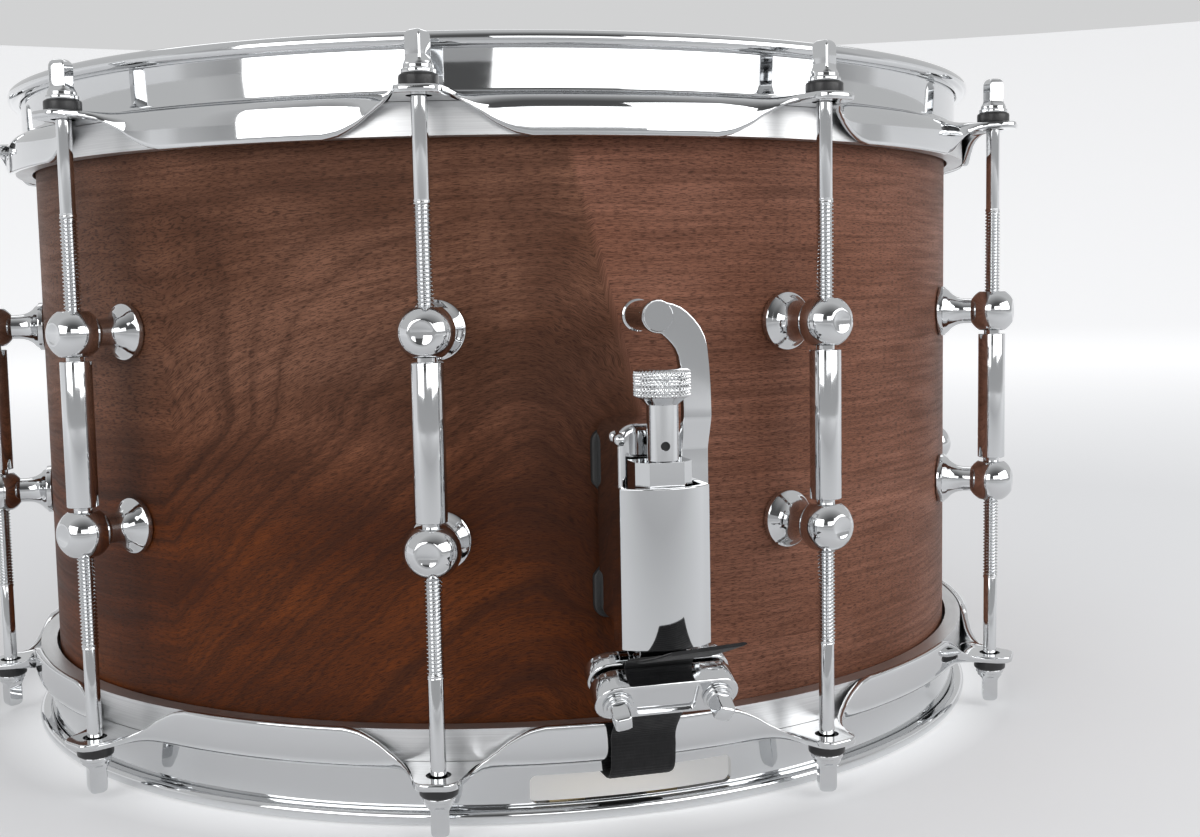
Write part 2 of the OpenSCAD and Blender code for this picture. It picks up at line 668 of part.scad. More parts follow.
shell();
top_hoop();
bottom_hoop();
batter_head();
batter_flesh_hoop();
snare_head();
snare_flesh_hoop();
for (i = [1 : lug_count]) {
    tail = str(i < 10 ? "0" : "", i);
    at_azimuth((i - 0.5) * lug_step) lug();
    top_rod(i);
    bottom_rod(i);
}
rod_washers();
lug_screws();
lug_screw_washers();
vent_grommet();
strainer_gasket();
strainer_base();
strainer_cover();
strainer_screws();
lever_pivot();
throw_lever();
carriage();
tension_knob();
clamp_rear_jaw();
clamp_front_jaw();
clamp_bolts();
front_strap();
snare_wires();
snare_end_plates();
rear_strap();
butt_gasket();
butt_plate();
butt_jaw();
butt_bolts();
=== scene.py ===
import json
import math
import random

import bmesh
import bpy
from mathutils import Matrix, Vector


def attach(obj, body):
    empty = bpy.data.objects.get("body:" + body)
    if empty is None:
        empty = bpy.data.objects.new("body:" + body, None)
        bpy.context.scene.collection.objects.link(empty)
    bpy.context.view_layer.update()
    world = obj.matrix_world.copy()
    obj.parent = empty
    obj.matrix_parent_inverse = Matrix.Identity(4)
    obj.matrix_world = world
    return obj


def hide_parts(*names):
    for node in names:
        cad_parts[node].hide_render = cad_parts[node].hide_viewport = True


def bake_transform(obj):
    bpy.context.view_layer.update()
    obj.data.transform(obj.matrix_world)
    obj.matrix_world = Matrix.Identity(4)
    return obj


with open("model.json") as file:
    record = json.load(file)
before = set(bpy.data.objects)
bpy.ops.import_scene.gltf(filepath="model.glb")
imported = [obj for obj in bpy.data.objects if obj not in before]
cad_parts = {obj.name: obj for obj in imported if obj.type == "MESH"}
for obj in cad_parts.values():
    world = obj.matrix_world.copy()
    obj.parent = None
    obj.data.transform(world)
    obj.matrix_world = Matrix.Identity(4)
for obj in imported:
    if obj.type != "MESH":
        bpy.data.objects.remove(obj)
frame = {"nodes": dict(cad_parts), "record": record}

random.seed(14)
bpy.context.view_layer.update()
MM = 0.001
RAD = math.radians

# sizes shared with the CAD model, in mm
DRUM_H = 232.0
MID_Z = DRUM_H / 2
SHELL_R = 177.0
ROD_R = 196.0
EAR_Z = 17.4
SHEET = 2.3
BALLS = (84.9, 147.1)


# ---------- meshes ----------
def concat(parts):
    verts, faces = [], []
    for v, f in parts:
        base = len(verts)
        verts += [tuple(p) for p in v]
        faces += [tuple(i + base for i in face) for face in f]
    return verts, faces


def moved(part, m):
    v, f = part
    return [tuple(m @ Vector(p)) for p in v], f


def assign(o, body, replaces=()):
    """The body a piece rides on and the CAD nodes it stands for, which are hidden."""
    if body:
        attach(o, body)
    if replaces:
        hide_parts(*replaces)
    return o


def make(name, part, mat, body="drum", sharp=32, replaces=(), recalc=True):
    """A piece from vertices in mm, smooth apart from its sharp edges, riding on a body."""
    verts, faces = part
    me = bpy.data.meshes.new(name)
    me.from_pydata([(x * MM, y * MM, z * MM) for x, y, z in verts], [], faces)
    bm = bmesh.new()
    bm.from_mesh(me)
    bmesh.ops.remove_doubles(bm, verts=bm.verts, dist=1e-7)
    if recalc:
        bmesh.ops.recalc_face_normals(bm, faces=bm.faces)
    bm.to_mesh(me)
    bm.free()
    finish_mesh(me, sharp)
    me.materials.append(mat)
    o = bpy.data.objects.new(name, me)
    bpy.context.scene.collection.objects.link(o)
    return assign(o, body, replaces)


def finish_mesh(me, sharp=32):
    me.polygons.foreach_set("use_smooth", [True] * len(me.polygons))
    me.set_sharp_from_angle(angle=RAD(sharp))
    me.update()


def copy_of(o, name, matrix, body, replaces=()):
    """Another piece with the same mesh, placed by a matrix in mm."""
    m = matrix.copy()
    m.translation = m.translation * MM
    c = bpy.data.objects.new(name, o.data.copy())
    c.data.transform(m)
    bpy.context.scene.collection.objects.link(c)
    return assign(c, body, replaces)


def bevel(o, width, segments=3, angle=30):
    b = o.modifiers.new("edge", "BEVEL")
    b.width, b.segments, b.limit_method, b.angle_limit = width * MM, segments, "ANGLE", RAD(angle)
    b.miter_outer = "MITER_ARC"
    b.harden_normals = True
    return o


def applied(o):
    """The object's mesh with its modifiers made final."""
    bpy.context.view_layer.update()
    e = o.evaluated_get(bpy.context.evaluated_depsgraph_get())
    me = bpy.data.meshes.new_from_object(e)
    old = o.data
    o.modifiers.clear()
    o.data = me
    me.name = old.name + "_f"


def cut_out(o, cutter):
    """Cuts one piece out of another for good and removes the cutter."""
    b = o.modifiers.new("cut", "BOOLEAN")
    b.operation, b.object, b.solver = "DIFFERENCE", cutter, "EXACT"
    applied(o)
    bpy.data.objects.remove(cutter)


def skin(verts, n):
    """Rings of n vertices each, joined one after another and closed by a face at each end."""
    rings = len(verts) // n
    faces = [(i * n + k, i * n + (k + 1) % n, (i + 1) * n + (k + 1) % n, (i + 1) * n + k)
             for i in range(rings - 1) for k in range(n)]
    return verts, faces + [tuple(range(n)), tuple(range((rings - 1) * n, rings * n))]


def circle(r, z, n):
    return [(r * math.cos(2 * math.pi * k / n), r * math.sin(2 * math.pi * k / n), z) for k in range(n)]


def stacked(rings, n):
    """Rings of n points joined one after another; a ring of one point lies on the axis."""
    verts, faces, rows = [], [], []
    for ring in rings:
        rows.append(range(len(verts), len(verts) + len(ring)))
        verts += ring
    for a, b in zip(rows, rows[1:]):
        if len(a) == 1 and len(b) == 1:
            continue
        for k in range(n):
            j = (k + 1) % n
            if len(a) == 1:
                faces.append((a[0], b[j], b[k]))
            elif len(b) == 1:
                faces.append((a[k], a[j], b[0]))
            else:
                faces.append((a[k], a[j], b[j], b[k]))
    return verts, faces


def fillet(points, radii, steps=4):
    """An open or closed polyline with round corners; radii is a number or one per point."""
    n = len(points)
    out = []
    for i, p in enumerate(points):
        r = radii[i] if isinstance(radii, (list, tuple)) else radii
        a, b = points[i - 1], points[(i + 1) % n]
        if r <= 0:
            out.append(p)
            continue
        d0 = (Vector(a) - Vector(p)).normalized()
        d1 = (Vector(b) - Vector(p)).normalized()
        half = math.acos(max(-1, min(1, d0.dot(d1)))) / 2
        if half > RAD(89):
            out.append(p)
            continue
        cut = min(r / math.tan(half), (Vector(a) - Vector(p)).length * 0.49,
                  (Vector(b) - Vector(p)).length * 0.49)
        rr = cut * math.tan(half)
        c = Vector(p) + (d0 + d1).normalized() * (rr / math.sin(half))
        s, e = Vector(p) + d0 * cut - c, Vector(p) + d1 * cut - c
        turn = s.angle_signed(e) if len(p) == 2 else s.angle(e)
        for k in range(steps + 1):
            t = k / steps
            w = (math.sin((1 - t) * abs(turn)) * s + math.sin(t * abs(turn)) * e) / math.sin(abs(turn))
            out.append(tuple(c + w))
    return out


def lathe(profile, n=64):
    """A profile of (radius, height) turned about Z. It is closed where it starts and ends on the axis or on itself."""
    return stacked([circle(r, h, n) if r >= 1e-5 else [(0, 0, h)] for r, h in profile], n)


def turned(profile, round_by=0.3, n=64, steps=3):
    """A solid turned from a half section, its corners away from the axis rounded."""
    radii = [0 if p[0] < 1e-5 else round_by for p in profile]
    return lathe(fillet(profile, radii, steps) if round_by else profile, n)


def ring_section(profile, n=128):
    """A closed half section turned about Z."""
    return lathe(list(profile) + [profile[0]], n)


def walled(low, high):
    """Two matching outlines joined by walls and closed by a face at each end."""
    n = len(low)
    faces = [tuple(range(n)), tuple(range(2 * n - 1, n - 1, -1))]
    return low + high, faces + [(i, i + n, (i + 1) % n + n, (i + 1) % n) for i in range(n)]


def prism(outline, s0, s1):
    """An outline in XZ standing between two distances along -Y."""
    return walled([(x, -s0, z) for x, z in outline], [(x, -s1, z) for x, z in outline])


def upright(outline, z0, z1):
    """An outline in XY standing between two heights."""
    return walled([(x, y, z0) for x, y in outline], [(x, y, z1) for x, y in outline])


def turn_z(deg):
    return Matrix.Rotation(RAD(deg), 4, "Z")


def shift(x, y, z):
    return Matrix.Translation((x, y, z))


OUT = Matrix.Rotation(RAD(90), 4, "X")      # local +Z points along -Y
FLIP = shift(0, 0, MID_Z) @ Matrix.Rotation(RAD(180), 4, "Y") @ shift(0, 0, -MID_Z)


def lerp_table(table, u):
    if u <= table[0][0]:
        return table[0][1]
    for (a, x), (b, y) in zip(table, table[1:]):
        if u <= b:
            t = (u - a) / (b - a)
            t = t * t * (3 - 2 * t) * 0.35 + t * 0.65
            return x + (y - x) * t
    return table[-1][1]


# ---------- materials ----------
class Nodes:
    """The shader nodes of a new material, or of another tree."""
    def __init__(self, name, tree=None):
        if tree is None:
            self.mat = bpy.data.materials.new(name)
            self.mat.use_nodes = True
            tree = self.mat.node_tree
            self.bsdf = tree.nodes["Principled BSDF"]
        self.t = tree

    def add(self, kind, **values):
        n = self.t.nodes.new("ShaderNode" + kind)
        for k, v in values.items():
            if k in n.bl_rna.properties:
                setattr(n, k, v)
            else:
                n.inputs[k.replace("_", " ")].default_value = v
        return n

    def math(self, op, *values):
        m = self.add("Math", operation=op)
        for k, v in enumerate(values):
            if isinstance(v, (int, float)):
                m.inputs[k].default_value = v
            else:
                self.t.links.new(v, m.inputs[k])
        return m.outputs[0]

    def set(self, **values):
        for k, v in values.items():
            self.bsdf.inputs[k.replace("_", " ")].default_value = v
        return self

    def ramp(self, fac, stops, interp="LINEAR"):
        r = self.add("ValToRGB")
        r.color_ramp.interpolation = interp
        while len(r.color_ramp.elements) < len(stops):
            r.color_ramp.elements.new(0.5)
        for e, (p, c) in zip(r.color_ramp.elements, stops):
            e.position = p
            e.color = (*c, 1) if isinstance(c, tuple) else (c, c, c, 1)
        self.t.links.new(fac, r.inputs[0])
        return r.outputs[0]

    def noise(self, coord, scale, detail=4, rough=0.5, distort=0.0):
        n = self.add("TexNoise", Scale=scale, Detail=detail, Roughness=rough, Distortion=distort)
        self.t.links.new(coord, n.inputs["Vector"])
        return n.outputs["Fac"]

    def stretched(self, coord, sx, sy, sz, rot=(0, 0, 0)):
        m = self.add("Mapping")
        m.inputs["Scale"].default_value = (sx, sy, sz)
        m.inputs["Rotation"].default_value = rot
        self.t.links.new(coord, m.inputs["Vector"])
        return m.outputs[0]

    def split(self, vector):
        sep = self.add("SeparateXYZ")
        self.t.links.new(vector, sep.inputs[0])
        return sep.outputs

    def looked_at(self):
        """1 for a camera, mirror or glass ray, 0 for any other."""
        path = self.add("LightPath")
        mirror = self.math("MAXIMUM", path.outputs["Is Camera Ray"], path.outputs["Is Glossy Ray"])
        return self.math("MAXIMUM", mirror, path.outputs["Is Transmission Ray"])

    def position(self):
        return self.add("TexCoord").outputs["Object"]

    def around(self, radius=SHELL_R * MM):
        """Arc length round the drum, distance from the axis, height: a flat map of the turned surface."""
        x, y, z = self.split(self.position())
        ang = self.math("ARCTAN2", x, self.math("MULTIPLY", y, -1.0))
        rad = self.math("SQRT", self.math("ADD", self.math("MULTIPLY", x, x), self.math("MULTIPLY", y, y)))
        c = self.add("CombineXYZ")
        self.t.links.new(self.math("MULTIPLY", ang, radius), c.inputs[0])
        self.t.links.new(rad, c.inputs[1])
        self.t.links.new(z, c.inputs[2])
        return c.outputs[0]

    def bump(self, height, strength, distance):
        b = self.add("Bump", Strength=strength, Distance=distance)
        self.t.links.new(height, b.inputs["Height"])
        self.t.links.new(b.outputs[0], self.bsdf.inputs["Normal"])
        return b

    def to(self, out, socket):
        self.t.links.new(out, self.bsdf.inputs[socket])

    def mix(self, fac, a, b, mode="MIX"):
        m = self.add("Mix", data_type="RGBA", blend_type=mode)
        for v, i in ((fac, 0), (a, 6), (b, 7)):
            if isinstance(v, (int, float)):
                m.inputs[i].default_value = v
            elif isinstance(v, tuple):
                m.inputs[i].default_value = (*v, 1)
            else:
                self.t.links.new(v, m.inputs[i])
        return m.outputs[2]


def chrome(name, tint=(0.66, 0.67, 0.68), rough=0.045, wave=0.00002):
    n = Nodes(name).set(Metallic=1.0, Base_Color=(*tint, 1))
    p = n.position()
    smudge = n.noise(p, 55, 5, 0.6)
    n.to(n.ramp(smudge, [(0.35, rough), (0.62, rough + 0.02), (0.8, rough + 0.06)]), "Roughness")
    n.bump(n.noise(p, 160, 2, 0.4), 0.25, wave)
    return n.mat


def satin_metal(name, colour, rough, stretch=(30, 200, 2600), around=True):
    n = Nodes(name).set(Metallic=1.0)
    p = n.around() if around else n.position()
    lines = n.noise(n.stretched(p, *stretch), 1.0, 5, 0.65)
    cloud = n.noise(p, 35, 4, 0.6)
    n.to(n.mix(n.ramp(lines, [(0.3, 0.0), (0.7, 1.0)]), tuple(c * 0.82 for c in colour), colour), "Base Color")
    n.to(n.math("ADD", n.math("MULTIPLY", cloud, 0.22), rough - 0.08), "Roughness")
    n.bump(lines, 0.35, 0.00003)
    return n.mat


def plastic(name, colour, rough=0.42, grain=900):
    n = Nodes(name)
    p = n.position()
    fine = n.noise(p, grain, 3, 0.6)
    n.to(n.mix(n.noise(p, 60, 3), tuple(c * 0.75 for c in colour), tuple(c * 1.3 for c in colour)), "Base Color")
    n.to(n.ramp(fine, [(0.3, rough - 0.06), (0.7, rough + 0.1)]), "Roughness")
    n.bump(fine, 0.3, 0.00004)
    return n.mat


def walnut():
    """Veneer with its grain running round the shell: stacked arches left of a seam, quiet red-brown to its right."""
    n = Nodes("walnut_veneer").set(Specular_IOR_Level=0.1)
    p = n.around()
    u, _, v = n.split(p)

    def less_half(x, k):
        return n.math("MULTIPLY", n.math("SUBTRACT", x, 0.5), k)

    slow = less_half(n.noise(n.stretched(p, 14, 1, 26), 1.0, 4, 0.55), 0.034)
    fast = less_half(n.noise(n.stretched(p, 30, 1, 110), 1.0, 3, 0.5), 0.0045)
    # the seam leans: one leaf of veneer to its right, one to its left
    seam = n.math("SUBTRACT", u, n.math("MULTIPLY_ADD", v, -0.25, 0.0348))
    right = n.ramp(n.math("MULTIPLY_ADD", seam, 40.0, 0.5), [(0.44, 0.0), (0.54, 1.0)])
    # arches: height plus a share of the distance from their axis, steep on the right
    du = n.math("SUBTRACT", n.math("ADD", u, slow), -0.029)
    away = n.math("SUBTRACT", n.math("SQRT", n.math("MULTIPLY_ADD", du, du, 0.00016)), 0.0126)
    away = n.math("MINIMUM", away, 0.11)
    gain = n.math("MULTIPLY", n.ramp(n.math("MULTIPLY_ADD", du, 20.0, 0.5), [(0.4, 0.42), (0.62, 1.0)]), 2.2)
    gain = n.math("MULTIPLY", gain, n.ramp(v, [(0.118, 1.0), (0.185, 0.12)]))
    gain = n.math("MULTIPLY", gain, n.math("SUBTRACT", 1.0, right))
    sway = n.math("MULTIPLY", slow, n.math("MULTIPLY_ADD", right, -0.35, 0.5))
    height = n.math("ADD", n.math("ADD", v, n.math("MULTIPLY", away, gain)), n.math("ADD", sway, fast))
    line = n.add("CombineXYZ")
    n.t.links.new(height, line.inputs[0])
    n.t.links.new(n.math("MULTIPLY", right, 0.37), line.inputs[1])
    ring = n.noise(line.outputs[0], 150, 4, 0.66)
    ring_fine = n.noise(line.outputs[0], 430, 2, 0.55)
    bold = n.math("SUBTRACT", 1.0, n.ramp(ring, [(0.38, 0.0), (0.47, 0.6), (0.56, 1.0)]))
    thin = n.ramp(ring_fine, [(0.34, 1.0), (0.52, 0.0)])
    low = n.math("MULTIPLY", n.math("SUBTRACT", 1.0, right), n.ramp(v, [(0.105, 1.0), (0.16, 0.22)]))
    # straight fine grain, with pores drawn out along it
    along = n.add("CombineXYZ")
    n.t.links.new(u, along.inputs[0])
    n.t.links.new(n.math("ADD", v, n.math("MULTIPLY", n.math("SUBTRACT", height, v), 0.4)), along.inputs[2])
    b = along.outputs[0]
    streak = n.noise(n.stretched(b, 24, 1, 760), 1.0, 5, 0.66)
    pores = n.noise(n.stretched(b, 380, 1, 4400), 1.0, 2, 0.65)
    pore = n.ramp(pores, [(0.41, 0.0), (0.50, 1.0)])
    cloud = n.noise(n.stretched(p, 13, 1, 30), 1.0, 3, 0.55)
    drift = n.ramp(cloud, [(0.36, 0.0), (0.64, 1.0)])
    rosy = n.mix(drift, (0.195, 0.080, 0.048), (0.285, 0.128, 0.084))
    brown = n.mix(drift, (0.120, 0.050, 0.027), (0.225, 0.104, 0.064))
    orange = n.mix(drift, (0.080, 0.0185, 0.0036), (0.165, 0.042, 0.0085))
    left_part = n.mix(n.ramp(v, [(0.085, 1.0), (0.135, 0.0)]), brown, orange)
    base = n.mix(right, left_part, rosy)

    def blob(cu, cv, ru, rv, depth):
        """A soft dark patch."""
        a = n.math("MULTIPLY", n.math("SUBTRACT", n.math("ADD", u, slow), cu), 1 / ru)
        c = n.math("MULTIPLY", n.math("SUBTRACT", v, cv), 1 / rv)
        r = n.math("MULTIPLY_ADD", a, a, n.math("MULTIPLY", c, c))
        return n.ramp(r, [(0.25, depth), (1.0, 0.0)])

    # painted shadow: the first patch darkens the veneer left of the throw-off, where its shadow falls on the shell;
    # the second darkens the veneer left of the seam towards the top
    shade = n.math("ADD", blob(-0.013, 0.105, 0.027, 0.055, 0.6), blob(-0.026, 0.172, 0.013, 0.030, 0.3))
    base = n.mix(shade, base, (0.036, 0.0125, 0.006))
    strength = n.math("MULTIPLY_ADD", low, 0.5, 0.17)
    base = n.mix(n.math("MULTIPLY", bold, strength), base, (0.026, 0.0095, 0.0048))
    base = n.mix(n.math("MULTIPLY", thin, n.math("MULTIPLY_ADD", low, 0.2, 0.12)), base, (0.040, 0.015, 0.008))
    base = n.mix(n.math("MULTIPLY", n.ramp(streak, [(0.36, 1.0), (0.6, 0.0)]), 0.5), base, (0.045, 0.0165, 0.0085))
    base = n.mix(n.math("MULTIPLY", n.math("SUBTRACT", 1.0, pore), 0.62), base, (0.014, 0.0055, 0.0034))
    n.to(base, "Base Color")
    n.to(n.ramp(streak, [(0.3, 0.56), (0.7, 0.42)]), "Roughness")
    n.bump(n.math("ADD", pore, n.math("MULTIPLY", streak, 0.4)), 0.35, 0.00006)
    return n.mat


def coated_film():
    n = Nodes("coated_film").set(Roughness=0.62, Subsurface_Weight=0.05)
    p = n.position()
    spray = n.noise(p, 1400, 4, 0.7)
    n.to(n.mix(n.noise(p, 25, 4), (0.80, 0.79, 0.76), (0.88, 0.875, 0.85)), "Base Color")
    n.bump(spray, 0.5, 0.00006)
    return n.mat


def clear_film():
    n = Nodes("hazy_film").set(IOR=1.4, Transmission_Weight=0.72)
    p = n.position()
    n.to(n.mix(n.noise(p, 18, 3), (0.78, 0.79, 0.79), (0.88, 0.89, 0.89)), "Base Color")
    n.to(n.ramp(n.noise(p, 420, 4, 0.6), [(0.3, 0.3), (0.7, 0.46)]), "Roughness")
    return n.mat


def ribbon():
    n = Nodes("black_ribbon").set(Sheen_Weight=0.1, Sheen_Roughness=0.4, Specular_IOR_Level=0.25)
    p = n.position()
    yarn = n.noise(n.stretched(p, 2600, 500, 500), 1.0, 3, 0.6)
    n.to(n.mix(yarn, (0.003, 0.003, 0.0035), (0.011, 0.011, 0.012)), "Base Color")
    n.to(n.ramp(n.noise(p, 300, 3), [(0.3, 0.5), (0.7, 0.72)]), "Roughness")
    n.bump(yarn, 0.5, 0.00008)
    return n.mat


CHROME = chrome("hardware_chrome")
HOOP_CHROME = chrome("hoop_chrome", rough=0.035)
STEEL = satin_metal("zinc_steel", (0.62, 0.62, 0.63), 0.3, (600, 600, 600), False)
WIRE = satin_metal("snare_steel", (0.7, 0.7, 0.71), 0.24, (900, 60, 900), False)
BRASS = satin_metal("plate_brass", (0.78, 0.6, 0.32), 0.26, (900, 60, 900), False)
ALU = satin_metal("flesh_aluminium", (0.74, 0.745, 0.75), 0.34)
BLACK = plastic("black_nylon", (0.012, 0.012, 0.013), 0.36)
RUBBER = plastic("black_rubber", (0.014, 0.014, 0.014), 0.55)
WALNUT = walnut()
COATED = coated_film()
CLEAR = clear_film()
RIBBON = ribbon()

slots = {s["node"]: s["material_slot"] for s in frame["record"]["subparts"]}
by_slot = {"walnut_ply": WALNUT, "hoop_chrome": HOOP_CHROME, "lug_chrome": CHROME, "rod_chrome": CHROME,
           "strainer_chrome": CHROME, "black_nylon": BLACK, "coated_film": COATED, "clear_film": CLEAR,
           "satin_aluminium": ALU, "zinc_steel": STEEL, "black_rubber": RUBBER, "black_ribbon": RIBBON,
           "snare_steel": WIRE, "plate_brass": BRASS}
for name, node in frame["nodes"].items():
    node.data.materials.clear()
    node.data.materials.append(by_slot[slots[name]])


# ---------- hoops ----------
def arc_points(cx, cy, r, a0, a1, n):
    return [(cx + r * math.cos(RAD(a0 + (a1 - a0) * k / n)), cy + r * math.sin(RAD(a0 + (a1 - a0) * k / n)))
            for k in range(n + 1)]


# the hoop's outer edge by arc length from a rod: its radius, and its rise over the flange
EDGE_R = [(0, 203.85), (3.2, 203.85), (4.6, 203.3), (5.8, 202.0), (6.6, 200.0), (7.4, 197.4), (8.6, 194.2),
          (10.2, 191.4), (12.4, 189.3), (15, 187.8), (18, 186.7), (22, 185.9), (27, 185.4), (32, 185.25)]
EDGE_Z = [(0, 0.0), (6.6, 0.0), (8.2, 0.25), (10.2, 1.1), (13, 2.6), (16.4, 4.5), (20, 6.9), (24, 9.0),
          (28, 10.4), (32, 11.05)]


def hoop_part():
    """The bottom hoop, its rim down: one sheet, rolled at the rim, stepped out over the flesh hoop, its skirt flowing
    into ten flat ears."""
    t = SHEET / 2
    mid = EAR_Z + t
    us = [0, 1.5, 3.2, 4.0, 4.6, 5.2, 5.8, 6.2, 6.6, 7.0, 7.4, 8.0, 8.6, 9.4, 10.2, 11.3, 12.4, 13.7, 15, 16.5, 18, 20,
          22, 24.5, 27, 29.5, 32]
    full = 2 * math.pi * ROD_R / 20
    us += [32 + (full - 32) * k / 8 for k in range(1, 9)]
    angles = []
    for lug in range(10):
        c = RAD(18 + 36 * lug)
        angles += [(c - u / ROD_R, u) for u in reversed(us[:-1])] + [(c + u / ROD_R, u) for u in us[1:]]
    # up the inside of the wall, round the roll, to the outside of the wall
    rim = fillet([(180.9, 8.0), (180.9, 3.0), (181.25, 3.0), (181.25, 4.6), (185.3, 4.6), (185.3, 0.0), (178.6, 0.0),
                  (178.6, 8.0)], [0, 0.05, 0.05, 0.5, 2.29, 2.29, 1.3, 0], 6)
    rim = [tuple(p) for p in reversed(rim)]
    verts = []
    for a, u in angles:
        re, dz = lerp_table(EDGE_R, u), lerp_table(EDGE_Z, u)
        full_share = min(1.0, dz / 11.05)
        h = 0.42 + 0.42 * full_share ** 0.7
        p0, p3 = Vector((182.6, mid)), Vector((re, mid + dz))
        p1 = Vector((182.6 + h * (re - 182.6), mid))
        p2 = Vector((re + 0.25 * full_share, mid + dz * (1 - h)))
        curve, normals = [], []
        steps = 14
        for k in range(steps + 1):
            s = k / steps
            s = s * 0.6 + 0.4 * s * s * (3 - 2 * s)
            q = (1 - s) ** 3 * p0 + 3 * (1 - s) ** 2 * s * p1 + 3 * (1 - s) * s * s * p2 + s ** 3 * p3
            d = 3 * (1 - s) ** 2 * (p1 - p0) + 6 * (1 - s) * s * (p2 - p1) + 3 * s * s * (p3 - p2)
            if d.length < 1e-6:
                d = p3 - p1
            d.normalize()
            curve.append(q)
            normals.append(Vector((d.y, -d.x)))
        outer = [q + n * t for q, n in zip(curve, normals)]
        inner = [q - n * t for q, n in zip(curve, normals)]
        d = Vector((-normals[-1].y, normals[-1].x))
        e = curve[-1]
        tip = [e + normals[-1] * t * math.cos(w) + d * (t * 0.45 * math.sin(w)) for w in
               (RAD(x) for x in (25, 55, 90, 125, 155))]
        wall_out = [(180.9, 16.0)] + arc_points(182.3, 16.0, 1.4, 180, 90, 4)[1:]
        wall_in = [(180.3, 19.7)] + arc_points(180.6, 17.7, 2.0, 90, 180, 5)
        # outside of the wall upwards, over the flange, back inside, down the wall and round the rim
        ring = wall_out + [tuple(p) for p in outer + tip + inner[::-1]] + wall_in + rim
        verts += [(r * math.sin(a), -r * math.cos(a), z) for r, z in ring]
    faces, n, m = [], len(ring), len(angles)
    for i in range(m):
        j = (i + 1) % m
        for k in range(n):
            l = (k + 1) % n
            faces.append((i * n + k, j * n + k, j * n + l, i * n + l))
    return verts, faces


def hoop_cutter(gates):
    parts = []
    for lug in range(10):
        m = turn_z(18 + 36 * lug) @ shift(0, -ROD_R, 0)
        parts.append(moved(lathe([(0, 14), (3.7, 14), (3.7, 24), (0, 24)], 40), m))
    if gates:
        hole = fillet([(-32, 5.0), (32, 5.0), (32, 13.6), (-32, 13.6)], 2.2, 6)
        for a in (0, 180):
            parts.append(moved(prism(hole, 170, 184), turn_z(a)))
    return concat(parts)


def make_hoop(name, top):
    o = make(name, hoop_part(), HOOP_CHROME, None, sharp=50)
    cutter = make(name + "_cut", hoop_cutter(not top), HOOP_CHROME, None)
    cut_out(o, cutter)
    o.data.materials.clear()
    o.data.materials.append(HOOP_CHROME)
    if top:
        o.data.transform(Matrix.Translation((0, 0, MID_Z * MM)) @ Matrix.Rotation(RAD(180), 4, "Y")
                         @ Matrix.Translation((0, 0, -MID_Z * MM)))
    finish_mesh(o.data, 40)
    assign(o, "drum", ("top_hoop" if top else "bottom_hoop",))


make_hoop("top_hoop_sheet", True)
make_hoop("bottom_hoop_sheet", False)


# ---------- tension rods ----------
def square_rings(levels, n=32):
    """Squares with round corners, given as (height, half width, corner), joined one after another."""
    verts = []
    for z, half, corner in levels:
        corner = min(corner, half)
        for q, (sx, sy) in enumerate(((1, 1), (-1, 1), (-1, -1), (1, -1))):
            for k in range(n // 4):
                a = RAD(90 * q + 90 * k / (n // 4 - 1))
                verts.append((sx * (half - corner) + corner * math.cos(a),
                              sy * (half - corner) + corner * math.sin(a), z))
    return skin(verts, n)


def key_head():
    """The square head, its crown rounded and its foot spread into the collar."""
    w = 2.7
    return square_rings([(1.7, 1.45, 0.9), (1.9, 1.95, 0.9), (2.5, 2.45, 0.75), (3.3, 2.66, 0.55), (4.2, w, 0.45),
                         (8.6, w, 0.45), (9.6, w, 0.6), (10.4, 3.05, 1.2), (11.0, 3.7, 2.6), (11.4, 4.2, 4.2)])


def screw_thread(z0, z1, r, pitch, n=32, depth=0.42, run_in=2.0, run_out=2.4):
    """A right-hand helical thread as a rippled cylinder, fading at both ends."""
    rows = int((z1 - z0) / pitch * 8)
    verts = []
    for i in range(rows + 1):
        z = z0 + (z1 - z0) * i / rows
        fade = min(1.0, (z - z0) / run_in, (z1 - z) / run_out + 0.25)
        taper = 1.0 if z < z1 - 2 else 1.0 - 0.3 * (z - z1 + 2) / 2
        for k in range(n):
            ph = (z / pitch - k / n) % 1.0
            tri = abs(ph - 0.5) * 2
            tri = min(1.0, max(0.0, (tri - 0.12) / 0.76))
            rr = (r - depth * (1 - tri) * fade) * taper - 0.12 * (1 - fade)
            a = 2 * math.pi * k / n
            verts.append((rr * math.cos(a), rr * math.sin(a), z))
    return skin(verts, n)


def rod_part():
    collar = turned([(0, 11.3), (4.35, 11.3), (4.4, 12.5), (4.95, 12.6), (4.95, 13.9), (0, 13.9)], 0.28, 48)
    shank = lathe([(0, 13.4), (2.35, 13.4), (2.35, 48.6), (2.2, 49.0), (0, 49.0)], 40)
    thread = screw_thread(48.2, 89.5, 2.7, 1.15, depth=0.6)
    return concat([key_head(), collar, shank, thread])


first = make("rod_model", rod_part(), CHROME, None, sharp=38)
for i in range(1, 11):
    at = turn_z((i - 0.5) * 36) @ shift(0, -ROD_R, 0) @ turn_z(random.uniform(-40, 40))
    copy_of(first, f"bottom_rod_{i:02d}_turned", at, f"bottom_rod_{i:02d}", (f"bottom_rod_{i:02d}",))
    at = turn_z((i - 0.5) * 36) @ shift(0, -ROD_R, 0) @ turn_z(random.uniform(-40, 40)) @ FLIP
    copy_of(first, f"top_rod_{i:02d}_turned", at, f"top_rod_{i:02d}", (f"top_rod_{i:02d}",))
bpy.data.objects.remove(first)

washer = ring_section(fillet([(2.7, 13.95), (5.65, 13.95), (5.65, 17.33), (2.7, 17.33)], [0.3, 0.7, 0.45, 0.3], 4), 56)
washers = []
for i in range(10):
    m = turn_z(18 + 36 * i) @ shift(0, -ROD_R, 0)
    washers += [moved(washer, m), moved(washer, m @ FLIP)]
make("rod_washers_round", concat(washers), BLACK, "drum", 60, ("rod_washers",))


